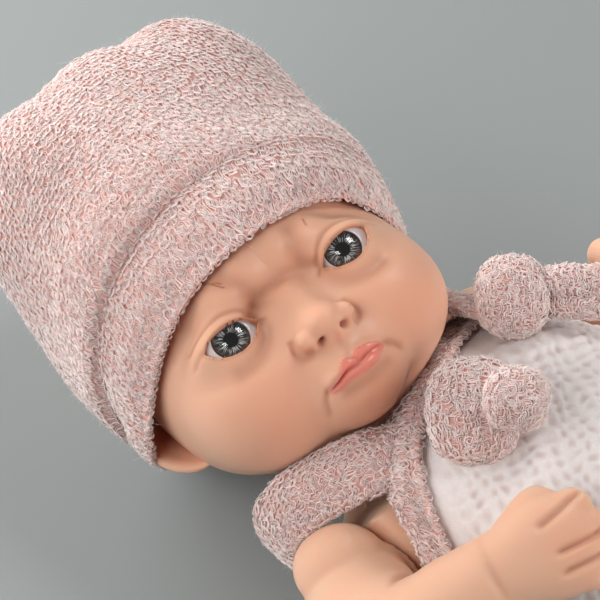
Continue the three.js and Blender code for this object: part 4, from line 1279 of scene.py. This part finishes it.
def hat_point(angle, height, out):
    """Point of the bag: an oval at each height that grows boxier, leans on and shuts in a top seam."""
    low = ease(hat_edge - 3, 22, height)
    high = np.clip((height - hat_dome) / (hat_top - hat_dome), 0, 1)
    square = (1 - high**3.6) ** (1 / 3.6)
    dome = (1 - high**1.5) ** (1 / 1.5)
    half_width = np.where(np.cos(angle) > 0, 44.3 + 9.7 * low, 45.5 - 0.5 * low) + out
    depth = np.where(np.sin(angle) > 0, 45.6, 46.9 + 6.8 * ease(0, 30, height)) + out
    across_hat = half_width * square * np.cos(angle)
    ahead_hat = 30 * ease(0, 1, high) + depth * dome * np.sin(angle)
    p = (np.array([0, -5, 14.0]) + across_hat[..., None] * np.array([1.0, 0, 0])
         + ahead_hat[..., None] * hat_front + (height + out * high)[..., None] * hat_up)
    return placed(p)


print("hat mm high:", hat_top - hat_edge)


# %% Hat surfaces
def crown_surface(a, v, out):
    """The bag from its top seam, at v = 0, to the crease over the band, at v = 1; waves give it slack."""
    angle = 2 * np.pi * a
    fold_at = hat_fold(angle)
    height = hat_top - (hat_top - fold_at) * v**1.8
    under = np.clip((fold_at + 3 - height) / 3, 0, 1)
    roll = np.cos(np.pi / 2 * under) * (1 - 0.6 * ease(hat_groove + 7, hat_groove + 34, height))
    slack = 0.9 * np.sin(3 * angle + 1.0 + height / 19) * np.sin(height / 13)
    slack = slack + 0.5 * np.sin(7 * angle - height / 9)
    gather = 1.1 * np.sin(9 * angle + 2) * ease(38, 68, height)
    loose = (slack + gather) * ease(82, 72, height) * ease(fold_at, fold_at + 14, height)
    return hat_point(angle, height, 2.6 + out + 3.2 * slump(angle) * roll + loose)


def cuff_surface(a, v, out):
    """The turned-up band: a flat closed section, round which v runs, carried round the head by a."""
    angle = 2 * np.pi * a
    turn = 2 * np.pi * v
    edge_at = edge_height(angle)
    half = (hat_fold(angle) + 3 - edge_at) / 2
    height = edge_at + half + (half + out) * signed_power(np.cos(turn), 0.5)
    lift_off = 1.3 + (1.1 + out) * signed_power(np.sin(turn), 0.6) + 0.3 * np.sin(5 * angle + height / 8)
    tuck = (1.7 + 0.9 * ease(0.1, 0.8, np.cos(angle))) * (1 - ease(1, 12, height - edge_at))
    over_ear = 3.6 * hump(angle % (2 * np.pi), 3.3, 0.42) * (1 - ease(4, 18, height - edge_at))
    return hat_point(angle, height, lift_off - tuck + over_ear)


knit("hat_crown", crown_surface, (0.03, 1.0), "head", ["hat_crown"], loose=1.1, down=72, round_it=96)
knit("hat_cuff", cuff_surface, (-0.02, 0.56), "head", ["hat_cuff"], loose=1.1, ring=True, down=48,
     round_it=96)


# %% [markdown]
# ## Neck band and leg bands
# A knit band edges the bib at the top, as a wide column and a narrow rolled one. Rings of the same
# yarn close the legs. They are closed sections carried round the torso and round the hip faces, so
# they stay on the cloth.

# %% Bands
band_clear = 0.3


def band_surface(a, v, out):
    """The band on the upper edge of the romper: v runs round a flat section with a dent along it."""
    angle = 2 * np.pi * a
    turn = 2 * np.pi * v
    thick = np.where(np.sin(angle) > 0, 3.2, 0.5 + 2.7 * (1 - ease(0, 0.35, -np.sin(angle))))
    across_band = signed_power(np.cos(turn), 0.5)
    dent = 0.9 * hump(across_band, 0.4, 0.18) * (np.sin(turn) > 0)
    lift_off = 3.35 + thick / 2 + (thick / 2 + out) * signed_power(np.sin(turn), 0.6) - dent
    x = rim_x(angle) + 1.5 + (5 + out) * across_band
    p = torso_point(x, angle, lift_off + bib_rise(x, angle))
    p[..., 2] = np.maximum(p[..., 2], band_clear)
    return p


knit("neck_band", band_surface, (-0.03, 0.53), "torso", ["neckline_band"], ring=True)


def leg_band_surface(side):
    """A ring round the opening for a leg: v runs round its oval section."""
    at, way = hip(side)
    first = unit(np.cross(way, np.array([0, 0, 1.0])))
    second = np.cross(way, first)

    def surface(a, v, out):
        angle = 2 * np.pi * a
        turn = 2 * np.pi * v
        radial = 24.3 + (2.5 + out) * signed_power(np.cos(turn), 0.8)
        rise = 2.55 + (2.1 + out) * signed_power(np.sin(turn), 0.8)
        p = (at + radial[..., None] * (np.cos(angle)[..., None] * first + np.sin(angle)[..., None] * second)
             + rise[..., None] * way)
        p[..., 2] = np.maximum(p[..., 2], band_clear)
        return p

    return surface


for side, name in sides:
    leg_band = f"{name}_leg_band"
    knit(leg_band, leg_band_surface(side), (-0.25, 0.55), "torso", [leg_band], ring=True)


# %% [markdown]
# ## Straps and bows
# Knit straps loop from the band over the shoulders to the back, tilted where they pass under the jaw.
# On the chest sit two stuffed bows: the right one is a flat lobe with a ball in front, the left one a
# ball with two tails. Each strap or lobe is one surface of two parameters, and the same knitting
# covers it.

# %% Straps
def ribbon_surface(path, half_wide, half_thick):
    """A flat band along a path: the section is a squared oval, wide across and thin outwards."""
    steps = 160
    line = through(path, steps)
    ahead = unit(np.gradient(line, axis=0))
    outward = line * np.array([0, 1, 1]) - np.array([0, 0, 33.0])
    outward = outward + np.array([-25.0, 0, 0]) * ease(-62, -76, line[:, :1])
    under_chin = ease(-44, -52, line[:, :1]) - ease(-66, -76, line[:, :1])
    outward = outward + np.array([-12.0, 0, 0]) * under_chin
    outward = square_to(outward, ahead)
    wide = np.cross(ahead, outward)
    samples = np.linspace(0, 1, steps)

    def pick(table, v):
        return np.stack([np.interp(v, samples, table[:, k]) for k in range(3)], -1)

    def surface(a, v, out):
        turn = 2 * np.pi * a
        shut = np.sqrt(np.maximum(1 - (2 * np.clip(v, 0, 1) - 1) ** 14, 0.0004))
        w = (half_wide + out) * shut * signed_power(np.cos(turn), 0.7)
        h = (half_thick + out) * shut * signed_power(np.sin(turn), 0.8)
        return pick(line, v) + w[..., None] * pick(wide, v) + h[..., None] * pick(outward, v)

    return surface


right_strap = [(-46, -14, 57.5), (-51, -19, 59.6), (-56.5, -25, 62.2), (-64.5, -32.5, 61.5),
               (-73, -38.5, 56), (-79, -41.5, 48.5), (-81, -42.5, 40), (-77, -40, 29), (-66, -34, 17),
               (-54, -27, 9)]
left_strap = [(-36, 26, 72), (-46, 27, 71), (-57, 31, 66.5), (-68, 39, 58), (-76, 46, 44), (-76, 47, 30),
              (-66, 42, 16), (-54, 32, 8)]
knit("right_strap", ribbon_surface(right_strap, 9.0, 2.2), (0.01, 0.99), "torso", ["right_strap"], step=2.1)
knit("left_strap", ribbon_surface(left_strap, 9.2, 2.2), (0.01, 0.99), "torso", ["left_strap"])
for part in ("ground", "yarn_1", "fuzz"):
    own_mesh(bpy.data.objects[f"right_strap_{part}"])
    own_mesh(bpy.data.objects[f"left_strap_{part}"])


# %% Bows
def lobe_surface(knot, tip, facing, half_wide, half_thick, boxy=2.4):
    """A stuffed lobe from the knot to its tip: ovals along the line, full in the middle, flat side
    towards facing."""
    knot, tip = np.array(knot, float), np.array(tip, float)
    ahead = unit(tip - knot)
    wide = unit(np.cross(np.array(facing, float), ahead))
    tall = np.cross(ahead, wide)

    def surface(a, v, out):
        turn = 2 * np.pi * a
        v = np.clip(v, 0, 1)
        run = -np.cos(np.pi * v)
        full = np.maximum(1 - np.abs(run) ** boxy, 0.00001) ** (1 / boxy)
        along = (0.5 + 0.5 * run) * (np.linalg.norm(tip - knot) + 2 * out) - out
        w = (half_wide + out) * full * np.cos(turn)
        h = (half_thick + out) * full * np.sin(turn)
        return knot + along[..., None] * ahead + w[..., None] * wide + h[..., None] * tall

    return surface


bows = {
    "right_bow": [((-26.5, -9, 76), (-49, -17, 74), (0.1, -0.45, 0.9), 14.2, 6.0, 2.8),
                  ((-35, -13.5, 82), (-18.5, -11.5, 84), (0, 0, 1), 8.6, 8.2)],
    "left_bow": [((-30, 31, 78), (-49, 25, 77), (0, -0.3, 1), 12, 8.6),
                 ((-36, 32, 80.5), (-6, 43, 80.0), (0, 0, 1), 5.2, 4.2, 3.0),
                 ((-36, 29, 76), (-6, 39, 75.5), (0, 0, 1), 5.0, 4.0, 3.0)],
}
for name, lobes in bows.items():
    for k, lobe in enumerate(lobes):
        nodes = [name] if k == 0 else []
        surface = lobe_surface(*lobe)
        stuffed = knit(f"{name}_{k + 1}", surface, (0.02, 0.98), "torso", nodes, step=2.1, samples=10)

# %% [markdown]
# ## Neck joint
# The knob inside the neck is turned from plain plastic. It shows only when the head tilts away. The
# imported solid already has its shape, so it only gets a finish.

# %% Neck knob
knob, knob_shader, wire = finish("knob_plastic", Roughness=0.4)
plug(knob_shader, Base_Color=wire.mix(wire.noise(60.0), ink(226, 214, 203), ink(220, 207, 195)))
knob_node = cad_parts["neck_knob"]
for slot in knob_node.material_slots:
    slot.material = knob
print("neck knob finished")
